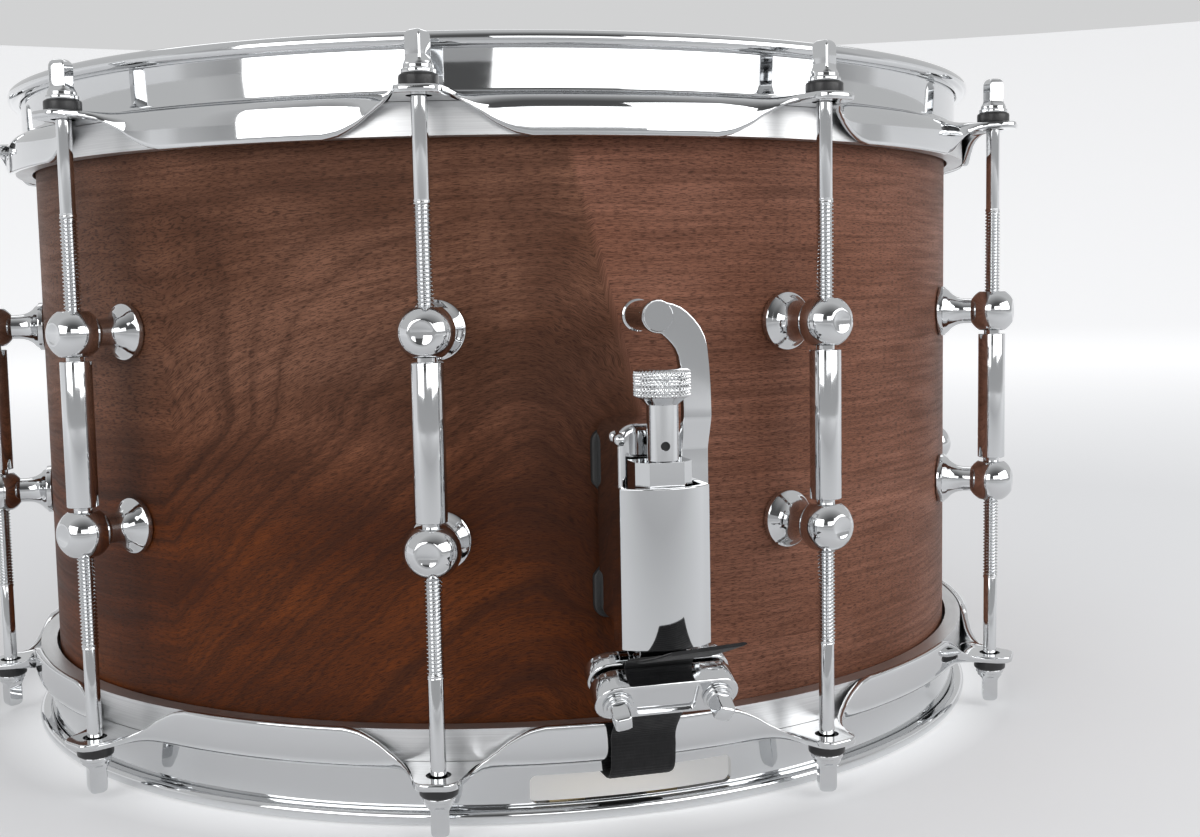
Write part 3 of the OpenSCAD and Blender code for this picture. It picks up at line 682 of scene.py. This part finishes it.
# ---------- lugs ----------
def ball():
    """A ball about the origin, its dimpled facet towards -Y, its top and bottom cut flat."""
    r, facet = 8.4, 7.52
    edge = math.degrees(math.acos(facet / r))
    prof = [(0, facet - 0.5), (1.8, facet - 0.38), (2.9, facet - 0.16), (3.35, facet - 0.03)]
    prof += [(r * math.sin(RAD(a)), r * math.cos(RAD(a))) for a in
             [edge + 1.4 + (172 - edge) * k / 44 for k in range(45)]] + [(0, -r)]
    v, f = moved(lathe(prof, 96), OUT)
    bm = bmesh.new()
    vs = [bm.verts.new(p) for p in v]
    for face in f:
        try:
            bm.faces.new([vs[i] for i in face])
        except ValueError:
            pass
    for s in (-1, 1):
        geom = bm.verts[:] + bm.edges[:] + bm.faces[:]
        cut = bmesh.ops.bisect_plane(bm, geom=geom, dist=1e-5, plane_co=(0, 0, s * 7.01), plane_no=(0, 0, s),
                                     clear_outer=True)
        rim = [e for e in cut["geom_cut"] if isinstance(e, bmesh.types.BMEdge)]
        bmesh.ops.edgeloop_fill(bm, edges=rim)
    bm.verts.index_update()
    out = [tuple(x.co) for x in bm.verts], [tuple(x.index for x in face.verts) for face in bm.faces]
    bm.free()
    return out


def lug_part():
    back = 18.8
    neck = [(0, 1.0), (4.4, 1.0), (4.55, back - 9.2)]
    neck += [(4.6 + 7 - 7 * math.cos(RAD(a)), back - 9 + 7 * math.sin(RAD(a))) for a in (12, 24, 36, 46, 55)]
    neck += [(8.4, back - 2.2), (8.9, back - 1.9), (9.0, back - 1.6), (9.0, back - 0.25), (8.8, back), (0, back)]
    post = concat([ball(), moved(lathe(neck, 72), Matrix.Rotation(RAD(-90), 4, "X"))])
    low = BALLS[0] + 7.01 + 1.4
    high = BALLS[1] - 7.01 - 1.4
    tube = lathe(fillet([(0, low), (4.8, low), (4.8, high), (0, high)], [0, 0.3, 0.3, 0], 3), 64)
    spigots = [lathe([(0, a), (2.8, a), (2.8, b), (0, b)], 40) for a, b in
               ((BALLS[0] + 5, low + 0.5), (high - 0.5, BALLS[1] - 5))]
    return concat([moved(post, shift(0, 0, BALLS[0])), moved(post, shift(0, 0, BALLS[1])), tube, *spigots])


first = make("lug_model", lug_part(), CHROME, None, sharp=28)
for i in range(1, 11):
    at = turn_z((i - 0.5) * 36) @ shift(0, -ROD_R, 0)
    copy_of(first, f"lug_{i:02d}_polished", at, "drum", (f"lug_{i:02d}",))
bpy.data.objects.remove(first)

# ---------- throw-off ----------
# cover: a thin channel, its front bowed across
arc_r, front_s, edge_s = 18.11, 220.0, 214.5
outer = [(-13.0, -206.0), (-13.0, -edge_s)]
outer += [(arc_r * math.sin(RAD(a)), -(front_s - arc_r + arc_r * math.cos(RAD(a)))) for a in range(-44, 45, 4)]
outer += [(13.0, -edge_s), (13.0, -206.0)]
inner = [(11.2, -206.0), (11.2, -213.9)]
inner += [((arc_r - 1.8) * math.sin(RAD(a)), -(front_s - arc_r + (arc_r - 1.8) * math.cos(RAD(a))))
          for a in range(40, -41, -4)]
inner += [(-11.2, -213.9), (-11.2, -206.0)]
cover = make("throwoff_cover", upright(outer + inner, 59.0, 104.0), CHROME, "drum", 24,
             ("strainer_cover",))
bevel(cover, 0.32, 3, 24)

# base: a cast body with a rounded front edge and a pair of pin heads at its shoulder
shape = fillet([(-9.5, 61.0), (9.5, 61.0), (9.5, 120.5), (-9.5, 120.5)], [3, 3, 4.5, 4.5], 8)


def inset_by(outline, inset):
    """The outline drawn in towards its middle."""
    xs, zs = zip(*outline)
    cx, cz = (max(xs) + min(xs)) / 2, (max(zs) + min(zs)) / 2
    hw, hz = (max(xs) - min(xs)) / 2, (max(zs) - min(zs)) / 2
    return [(cx + (x - cx) * (hw - inset) / hw, cz + (z - cz) * (hz - inset) / hz) for x, z in outline]


def lofted(outline, levels):
    """An outline in XZ, inset by a different amount at each distance along -Y."""
    return skin([(x, -s, z) for s, inset in levels for x, z in inset_by(outline, inset)], len(outline))


def quarter(r, steps):
    """How far out and how far in a round edge runs, from its foot to its crown."""
    return [(r * math.sin(RAD(90 * k / steps)), r - r * math.cos(RAD(90 * k / steps))) for k in range(steps + 1)]


def rounded_levels(s0, s1, r, steps=5):
    return [(s0, 0)] + [(s1 - r + out, inset) for out, inset in quarter(r, steps)]


body = lofted(shape, rounded_levels(179.3, 202.2, 2.2))
dome = [(2.0 * math.cos(RAD(a)), 0.2 + 1.6 * math.sin(RAD(a))) for a in (20, 40, 60, 78)]
dome = lathe([(0, -1.0), (1.9, -1.0), (2.0, 0.2)] + dome + [(0, 1.8)], 40)
left = Matrix.Rotation(RAD(-90), 4, "Y")
heads = [moved(dome, shift(-9.0, -s, z) @ left) for s, z in ((195.8, 116.4), (201.0, 115.9))]
arms = [prism([(-11, z), (-7.5, z), (-7.5, z + 6), (-11, z + 6)], 200.5, 209.8) for z in (62.0, 77.0)]
make("throwoff_base", concat([body, *heads]), CHROME, "drum", 30, ("strainer_base",))
bevel(make("throwoff_base_arms", concat(arms), CHROME, "drum"), 0.4)

# gasket: a soft black pad that hugs the shell and stands out round the base
def hugging(outline, levels):
    """An outline wrapped round the drum's axis, inset by a different amount at each radius."""
    return skin([(r * math.sin(x / r), -r * math.cos(x / r), z)
                 for r, inset in levels for x, z in inset_by(outline, inset)], len(outline))


def dense(outline, step=2.0):
    out = []
    for i, p in enumerate(outline):
        q = outline[(i + 1) % len(outline)]
        k = max(1, int(math.dist(p, q) / step))
        out += [(p[0] + (q[0] - p[0]) * j / k, p[1] + (q[1] - p[1]) * j / k) for j in range(k)]
    return out


pad = dense(fillet([(-11, 60), (11, 60), (11, 73), (8.4, 76), (8.4, 98), (11, 101), (11, 117), (-11, 117), (-11, 101),
                    (-8.4, 98), (-8.4, 76), (-11, 73)], [4, 4, 2, 2, 2, 2, 4, 4, 2, 2, 2, 2], 6))
make("throwoff_gasket", hugging(pad, rounded_levels(177.25, 179.2, 0.7, 3)), RUBBER, "drum", 40,
     ("strainer_gasket",))

# lever: one bent strip with its edges eased, a pivot eye below and a round grip seat above
stations = [((-6.8, 88.0), (3.6, 85.9), 205.5), ((-8.0, 92.0), (11.5, 88.6), 205.5),
            ((-6.4, 96.8), (15.4, 93.6), 205.5), ((-1.5, 100.0), (16.0, 98.0), 205.5),
            ((4.6, 102.6), (16.0, 102.5), 205.5), ((7.2, 105.2), (16.0, 105.5), 205.5),
            ((7.8, 108.0), (16.0, 108.4), 205.5), ((7.8, 112.6), (16.0, 112.6), 205.5),
            ((7.8, 113.6), (16.0, 113.6), 205.7), ((7.8, 121.2), (16.1, 121.0), 208.25),
            ((7.8, 122.3), (16.1, 122.1), 208.5), ((7.8, 125.0), (16.1, 124.6), 208.5),
            ((7.5, 130.0), (16.0, 130.0), 208.5), ((7.0, 136.0), (15.6, 136.6), 208.5),
            ((6.4, 139.4), (15.1, 141.6), 208.5), ((5.5, 141.4), (14.3, 144.8), 208.5),
            ((4.4, 142.9), (13.0, 147.4), 208.5), ((3.2, 144.2), (11.3, 149.6), 208.5),
            ((2.3, 145.0), (9.4, 151.5), 208.5), ((1.5, 145.62), (7.4, 153.0), 208.5),
            ((0.9, 145.76), (5.2, 153.95), 208.5)]
gx, gz, gr = 0.7, 150.5, 4.75


def on_grip(angle):
    return gx + gr * math.cos(RAD(angle)), gz + gr * math.sin(RAD(angle))


stations += [(on_grip(-98 - (36 - a) * 0.5), on_grip(54 + (36 - a) * 1.0), 208.5) for a in (36, 12, -8)]
stations += [(on_grip(-120 - 60 * k / 5.6), on_grip(98 + 82 * k / 5.6), 208.5) for k in (1, 2, 3, 4, 5)]


def strip(rows, thick, ease=0.45):
    """A plate along paired edge points, its long edges eased all round."""
    verts = []
    for lo, hi, s in rows:
        lo, hi = Vector(lo), Vector(hi)
        d = hi - lo
        e = min(ease, d.length * 0.3)
        d.normalize()
        edge = [(e, 0), (e * 0.3, e * 0.3), (0, e), (0, thick - e), (e * 0.3, thick - e * 0.3), (e, thick)]
        pts = [(lo + d * off, s - depth) for off, depth in edge]
        pts += [(hi - d * off, s - depth) for off, depth in reversed(edge)]
        verts += [(p.x, -q, p.y) for p, q in pts]
    return skin(verts, 12)


plate_part = strip(stations, 3.0)
grip = [(0, 18.6), (4.35, 18.6), (4.35, 2.0), (4.35, 1.6), (4.72, 1.35), (4.75, 0.9), (4.72, 0.35), (4.4, 0.0), (0, 0)]
grip = [(r, h + 188.0) for r, h in grip]
disc = [(0, 208.2), (4.3, 208.2), (4.28, 208.75), (4.12, 208.95), (0, 208.95)]
turned_parts = [moved(lathe(p, 72), shift(gx, 0, gz) @ OUT) for p in (grip, disc)]
peg = lathe(fillet([(0, 204.5), (1.5, 204.5), (1.5, 209.7), (0, 209.7)], [0, 0, 0.3, 0]), 32)
peg = moved(peg, shift(5.434, 0, 95.0) @ OUT)
lever_o = make("throw_lever_bent", concat([plate_part, *turned_parts, peg]), CHROME, "lever", 26,
               ("throw_lever",))
lever_o.modifiers.new("flat_faces", "WEIGHTED_NORMAL").keep_sharp = True

# knob: a stem with a cross hole, a cone and a diamond-knurled head
KNOB = shift(0, -213.2, 0)
CROSS_HOLE = KNOB @ shift(0, 0, 115.3) @ turn_z(-8) @ OUT
HEAD_LOW, HEAD_HIGH, HEAD_MID = 128.55, 136.2, 132.4


def knurled(n=336, teeth=42, rows=33):
    """The knob turned from its section, its head cut by two crossing sets of grooves."""
    pitch = 2 * math.pi * 8 / teeth

    def head_ring(z):
        edge = min(z - HEAD_LOW, HEAD_HIGH - z)
        round_off = 0.9 * max(0.0, 1 - edge / 0.8) ** 2
        ring = []
        for i in range(n):
            lean = (z - HEAD_MID) / pitch * 0.72
            crossing = [1 - abs((teeth * i / n + side) % 1.0 - 0.5) * 2.2 for side in (lean, -lean)]
            r = 8.0 - round_off - 0.5 * min(max(*crossing, 0), 0.94) * min(1.0, edge / 0.6 + 0.15)
            a = 2 * math.pi * i / n
            ring.append((r * math.cos(a), r * math.sin(a), z))
        return ring

    stem = [circle(r, z, n) for r, z in ((4.1, 110.85), (4.4, 111.15), (4.4, 126.5), (6.75, 128.5))]
    head = [head_ring(HEAD_LOW + (HEAD_HIGH - HEAD_LOW) * k / rows) for k in range(rows + 1)]
    return stacked([[(0, 0, 110.85)], *stem, *head, circle(6.6, 136.35, n), [(0, 0, 136.35)]], n)


knob = make("tension_knob_knurled", moved(knurled(), KNOB), CHROME, None, 40)
hole = lathe([(0, -9), (1.3, -9), (1.3, 9), (0, 9)], 28)
cut_out(knob, make("hole_cut", moved(hole, CROSS_HOLE), CHROME, None))
finish_mesh(knob.data, 40)
assign(knob, "knob", ("tension_knob",))
# painted shade: a black disc inside the cross hole, which goes through the stem, so that the hole looks dark from
# shade
hole_shade_disc = lathe([(0, 0), (1.28, 0), (1.28, 0.3), (0, 0.3)], 28)
make("tension_knob_hole_painted_shade", moved(hole_shade_disc, CROSS_HOLE @ shift(0, 0, 2.6)), BLACK, "knob")
screw = screw_thread(65.0, 111.2, 2.5, 0.8, 28, 0.3, 1.0, 1.2)
make("tension_knob_screw", moved(screw, KNOB), CHROME, "knob", 45)

# clamp, in its own leaning frame
CLAMP = shift(0, -207.6, 48.3) @ Matrix.Rotation(RAD(32), 4, "X")


def jaw_outline(half=21.0, r=6.25, steps=12):
    """A bar with round ends."""
    return [(end * (half - r) + r * math.cos(RAD(a)), r * math.sin(RAD(a)))
            for end, start in ((1, -90), (-1, 90)) for a in (start + 180 * k / steps for k in range(steps + 1))]


def block(outline, s0, s1, r, steps=4):
    """An outline in XZ with its front and back edges rounded."""
    back = [(s0 + r - out, inset) for out, inset in reversed(quarter(r, steps))]
    return lofted(outline, back + rounded_levels(s0, s1, r, steps)[1:])


front_o = make("clamp_front", moved(block(jaw_outline(), 0.75, 8.25, 0.7), CLAMP), CHROME, None, 30)
channel = block(fillet([(-8.6, -4.9), (8.6, -4.9), (8.6, 4.9), (-8.6, 4.9)], 1.2, 5), 6.9, 12.0, 0.3)
cut_out(front_o, make("channel_cut", moved(channel, CLAMP), CHROME, None))
finish_mesh(front_o.data, 30)
assign(front_o, "clamp", ("clamp_front_jaw",))
rear = moved(block(jaw_outline(), -6.25, -0.75, 0.7), CLAMP)
make("clamp_rear", rear, CHROME, "clamp", 30, ("clamp_rear_jaw",))
side = [(206.2, 47.5), (206.9, 48.9), (211.5, 56.2), (211.5, 71.0), (206.2, 71.0)]
neck = ([(x, -s, z) for x in (-7, 7) for s, z in side],
        [tuple(range(5)), tuple(range(9, 4, -1))] + [(k, k + 5, (k + 1) % 5 + 5, (k + 1) % 5) for k in range(5)])
hanger = upright([(-7, -211.0), (-7, -216.0), (7, -216.0), (7, -211.0)], 65.0, 83.0)
bevel(make("clamp_hanger", concat([neck, hanger]), CHROME, "clamp"), 0.4)


def key_bolt():
    """A stepped collar and a square key head."""
    collar = [turned([(0, low), (r, low), (r, high), (0, high)], 0.3, 56) for r, low, high in
              ((4.35, 8.3, 9.5), (3.6, 9.4, 10.5))]
    head = square_rings([(10.3, 2.65, 1.3), (11.2, 2.6, 0.7), (13.0, 2.5, 0.5), (15.2, 2.42, 0.5), (15.8, 2.2, 0.8),
                         (16.25, 1.6, 1.2), (16.4, 0.8, 0.8)])
    return concat([*collar, head])


bolts = []
for x, a in ((-14.6, 12), (14.6, -20)):
    bolts.append(moved(key_bolt(), CLAMP @ shift(x, 0, 0) @ OUT @ turn_z(a)))
    bolts.append(moved(lathe([(0, -5.6), (2.0, -5.6), (2.0, 8.6), (0, 8.6)], 32), CLAMP @ shift(x, 0, 0) @ OUT))
make("clamp_key_bolts", concat(bolts), CHROME, "clamp", 34, ("clamp_bolts",))


# straps: woven ribbons with a rib every millimetre
def ribbon_mesh(lines, thick=0.9, rib=1.0, cols=26):
    """A ribbon through cross lines, each a left and a right end point, in mm."""
    def spline(points):
        """A smooth run of points about a quarter of a millimetre apart."""
        out = []
        n = len(points)
        for i in range(n - 1):
            p0, p1, p2, p3 = (Vector(points[max(0, min(n - 1, i + k))]) for k in (-1, 0, 1, 2))
            steps = max(2, int((p2 - p1).length / 0.25))
            for k in range(steps):
                t = k / steps
                out.append(0.5 * ((2 * p1) + (p2 - p0) * t + (2 * p0 - 5 * p1 + 4 * p2 - p3) * t * t
                                  + (3 * p1 - p0 - 3 * p2 + p3) * t ** 3))
        out.append(Vector(points[-1]))
        return out
    mids = spline([(Vector(a) + Vector(b)) / 2 for a, b in lines])
    total = len(mids)

    def along(points):
        """As many points as the middle line has, smoothed three times."""
        s = spline(points)
        s = [s[min(len(s) - 1, round(i * (len(s) - 1) / (total - 1)))] for i in range(total)]
        for _ in range(3):
            s = [s[0]] + [(s[i - 1] + s[i] * 2 + s[i + 1]) / 4 for i in range(1, total - 1)] + [s[-1]]
        return s

    lefts, rights = along([a for a, _ in lines]), along([b for _, b in lines])
    verts, run = [], 0.0
    for i in range(total):
        l, r = lefts[i], rights[i]
        a, b = max(0, i - 1), min(total - 1, i + 1)
        tangent = ((lefts[b] + rights[b]) - (lefts[a] + rights[a])).normalized()
        across = (r - l).normalized()
        normal = tangent.cross(across).normalized()
        if i:
            run += ((l + r) / 2 - (lefts[i - 1] + rights[i - 1]) / 2).length
        bulge = 0.14 * abs(math.sin(math.pi * run / rib)) - 0.07
        for side in (1, -1):
            order = range(cols + 1) if side == 1 else range(cols, -1, -1)
            for k in order:
                t = k / cols
                edge = min(t, 1 - t) * (r - l).length
                h = (thick / 2 * (0.45 + 0.55 * min(1, edge / 0.5)) + bulge * min(1, edge / 0.6)
                     + 0.025 * math.sin(k * 2.4))
                verts.append(tuple(l + (r - l) * t + normal * (side * h)))
    return skin(verts, 2 * (cols + 1))


def level_line(y, z, x0, x1):
    return (x0, y, z), (x1, y, z)


def in_jaws(x, y, z):
    return tuple(CLAMP @ Vector((x, y, z)))


run_up = [level_line(-158.6, 12.5, -10, 10), level_line(-170, 12.4, -9.9, 10.1), level_line(-180, 12.5, -9.7, 10.3),
          level_line(-184.5, 12.9, -9.5, 10.5), level_line(-187.4, 16.0, -9.3, 10.7),
          level_line(-188.2, 22.0, -9.3, 10.7), level_line(-190.2, 28.0, -9.6, 10.4)]
run_up += [(in_jaws(-9.9, 0, z), in_jaws(10.1, 0, z)) for z in (-10.6, -8.3)]
lower = make("front_strap_run", ribbon_mesh(run_up), RIBBON, None, 50)
tail_lines = [(in_jaws(x, 0, z), in_jaws(x + 20, 0, z)) for x, z in
              ((-10, -10.2), (-10.2, -6), (-10.6, 0), (-11.1, 3.6), (-11.3, 5.4))]
tail_lines += [((-11.4, -211.6, 54.2), (8.6, -211.6, 54.2)), ((-11.2, -213.2, 55.5), (8.8, -213.2, 55.6)),
               ((-10.7, -216.4, 56.4), (9.6, -216.4, 56.6)), ((-10.0, -220.6, 57.0), (10.8, -220.6, 57.3)),
               ((-8.0, -228.0, 59.4), (13.6, -228.0, 60.4)), ((-5.9, -235.0, 62.2), (16.0, -234.6, 63.3))]
make("front_strap_tail", ribbon_mesh(tail_lines), RIBBON, "clamp", 50)
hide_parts("front_strap")
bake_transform(lower)

# rear strap: straight up through the jaw of the butt plate
rear_lines = [level_line(158.6, 12.5, -10, 10), level_line(170, 12.4, -10, 10), level_line(181, 12.6, -10, 10),
              level_line(185.5, 13.6, -10, 10), level_line(187.4, 17.0, -10, 10), level_line(188.2, 24.0, -10, 10),
              level_line(194.0, 31.0, -10, 10), level_line(201.5, 36.0, -10, 10), level_line(203.75, 39.0, -10, 10),
              level_line(203.75, 46.0, -10, 10), level_line(203.8, 51.5, -10, 10)]
make("rear_strap_ribbed", ribbon_mesh(rear_lines), RIBBON, "drum", 50, ("rear_strap",))

# snare wires: coiled strands between brass plates
def coil(x, z, y0, y1, r=0.62, wire=0.26, pitch=1.15, n=5, per=10):
    turns = (y1 - y0) / pitch
    steps = int(turns * per)
    verts = []
    for i in range(steps + 1):
        t = i / per * 2 * math.pi
        y = y0 + (y1 - y0) * i / steps
        c = Vector((x + r * math.cos(t), y, z + r * math.sin(t)))
        radial = Vector((math.cos(t), 0, math.sin(t)))
        for k in range(n):
            a = 2 * math.pi * k / n
            verts.append(tuple(c + radial * (wire * math.cos(a)) + Vector((0, wire * math.sin(a), 0))))
    return skin(verts, n)


strands = [coil((i - 9.5) * 2.05, 13.0, -145.9, 145.9) for i in range(20)]
make("snare_coils", concat(strands), WIRE, "drum", 60, ("snare_wires",), recalc=False)
plate_outline = fillet([(-21.1, 12.6), (21.1, 12.6), (21.1, 13.4), (-21.1, 13.4)], 0.2, 2)
make("snare_brass_plates", concat([prism(plate_outline, s, s + 11.9) for s in (146.05, -157.95)]), BRASS, "drum",
     30, ("snare_end_plates",))


# CAD castings keep their shape, with eased edges
for node, width in (("carriage", 0.22), ("butt_plate", 0.5), ("butt_jaw", 0.4)):
    o = frame["nodes"][node]
    o.modifiers.new("weld", "WELD").merge_threshold = 1e-6
    bevel(o, width, 2, 35)


# ---------- camera, floor and lights ----------
# fitted to the rims, the lugs' balls and the rods' seats
CAMERA_AT = (-0.12375, -0.59725, 0.16071)
YAW, PITCH, ROLL = RAD(15.421), RAD(-5.360), RAD(-1.043)
LENS, SENSOR = 44.2002, 36

ahead = Vector((math.sin(YAW) * math.cos(PITCH), math.cos(YAW) * math.cos(PITCH), math.sin(PITCH)))
level = Vector((math.cos(YAW), -math.sin(YAW), 0))
upward = level.cross(ahead)
right = math.cos(ROLL) * level + math.sin(ROLL) * upward
top = -math.sin(ROLL) * level + math.cos(ROLL) * upward
cam_data = bpy.data.cameras.new("camera")
cam = bpy.data.objects.new("camera", cam_data)
bpy.context.scene.collection.objects.link(cam)
cam.matrix_world = Matrix.Translation(CAMERA_AT) @ Matrix((right, top, -ahead)).transposed().to_4x4()
cam_data.sensor_width, cam_data.lens = SENSOR, LENS
cam_data.clip_start, cam_data.clip_end = 0.02, 60
bpy.context.scene.camera = cam


def stage_material(name, colour, seen):
    """Pale, with the object's shadow; a camera or mirror ray sees it a little brighter than its own light, with a
    painted light under the drum where its shadow lies and a painted shade on the camera side.
    """
    n = Nodes(name).set(Roughness=0.9, Specular_IOR_Level=0.1, Emission_Color=(1, 1, 1, 1))
    p = n.position()
    x, y, _ = n.split(p)
    tint = n.mix(n.noise(p, 1.2, 2), tuple(c * 0.985 for c in colour), colour)
    # painted shade: the floor's colour darkens towards the camera side, for the chrome to reflect
    camera_side_shade = n.ramp(n.math("MULTIPLY_ADD", y, 1.0, 1.0), [(0.25, 1.0), (0.72, 0.0)])
    n.to(n.mix(camera_side_shade, tint, tuple(c * 0.5 for c in colour)), "Base Color")
    r = n.math("SQRT", n.math("MULTIPLY_ADD", x, x, n.math("MULTIPLY", y, y)))
    # painted light: under the drum, where its shadow lies, camera and mirror rays see a glow; farther out the glow
    # rises to a pale backdrop
    glow = n.ramp(n.math("MULTIPLY", r, 0.25), [(0.044, 0.42), (0.05, seen), (0.16, seen), (0.6, 0.42)])
    # painted shade: the glow is dimmer on the camera side
    camera_side_dim_glow = n.ramp(n.math("MULTIPLY_ADD", y, 0.25, 0.75), [(0.3, 0.55), (0.62, 1.0)])
    n.to(n.math("MULTIPLY", n.looked_at(), n.math("MULTIPLY", glow, camera_side_dim_glow)), "Emission Strength")
    return n.mat


def sweep():
    """A wide round floor whose rim curves up, well away from the drum."""
    prof = [(0, 0), (4.2, 0)] + [(4.2 + 2.4 * math.sin(RAD(a)), 2.4 - 2.4 * math.cos(RAD(a))) for a in range(4, 61, 4)]
    return lathe([(r * 1000, z * 1000 - 0.3) for r, z in prof], 96)


floor = make("studio_sweep", sweep(), stage_material("studio_paper", (0.72, 0.725, 0.735), 0.07), None, recalc=False)

world = bpy.data.worlds.new("studio")
bpy.context.scene.world = world
world.use_nodes = True
w = Nodes("studio", world.node_tree)
_, north, height = w.split(w.add("TexCoord").outputs["Generated"])
sky = w.ramp(w.math("MULTIPLY_ADD", height, 0.5, 0.5),
             [(at, (c, c * 1.005, c * 1.02)) for at, c in ((0.0, 0.2), (0.5, 0.25), (0.62, 0.45), (1.0, 0.8))])
# a camera, mirror or glass ray sees a pale backdrop, dimmer on the side the camera stands: a painted shade for the
# chrome to reflect, which no diffuse ray sees
pale = w.ramp(w.math("MULTIPLY_ADD", north, 0.5, 0.5),
              [(at, (c, c * 1.005, c * 1.01)) for at, c in ((0.1, 0.1), (0.42, 0.64))])
w.t.links.new(w.mix(w.looked_at(), sky, pale), w.t.nodes["Background"].inputs["Color"])


def softbox(name, at, look, w, h, power, colour=(1, 1, 1)):
    d = bpy.data.lights.new(name, "AREA")
    d.shape, d.size, d.size_y, d.energy, d.color = "RECTANGLE", w, h, power, colour
    o = bpy.data.objects.new(name, d)
    o.location = at
    o.rotation_euler = (Vector(look) - Vector(at)).to_track_quat("-Z", "Y").to_euler()
    bpy.context.scene.collection.objects.link(o)


softbox("front_right", (1.2, -1.35, 0.72), (0, 0, 0.16), 1.6, 0.95, 16)
softbox("front_left", (-1.4, -1.25, 0.72), (0, 0, 0.16), 1.3, 0.95, 12.5)
softbox("front", (0.12, -2.0, 0.62), (0, 0, 0.16), 1.15, 0.55, 4.5)
softbox("backdrop", (0.3, 1.5, 1.9), (0.3, 2.2, 0.0), 2.6, 1.2, 13)

bpy.context.scene.view_settings.view_transform = "Standard"
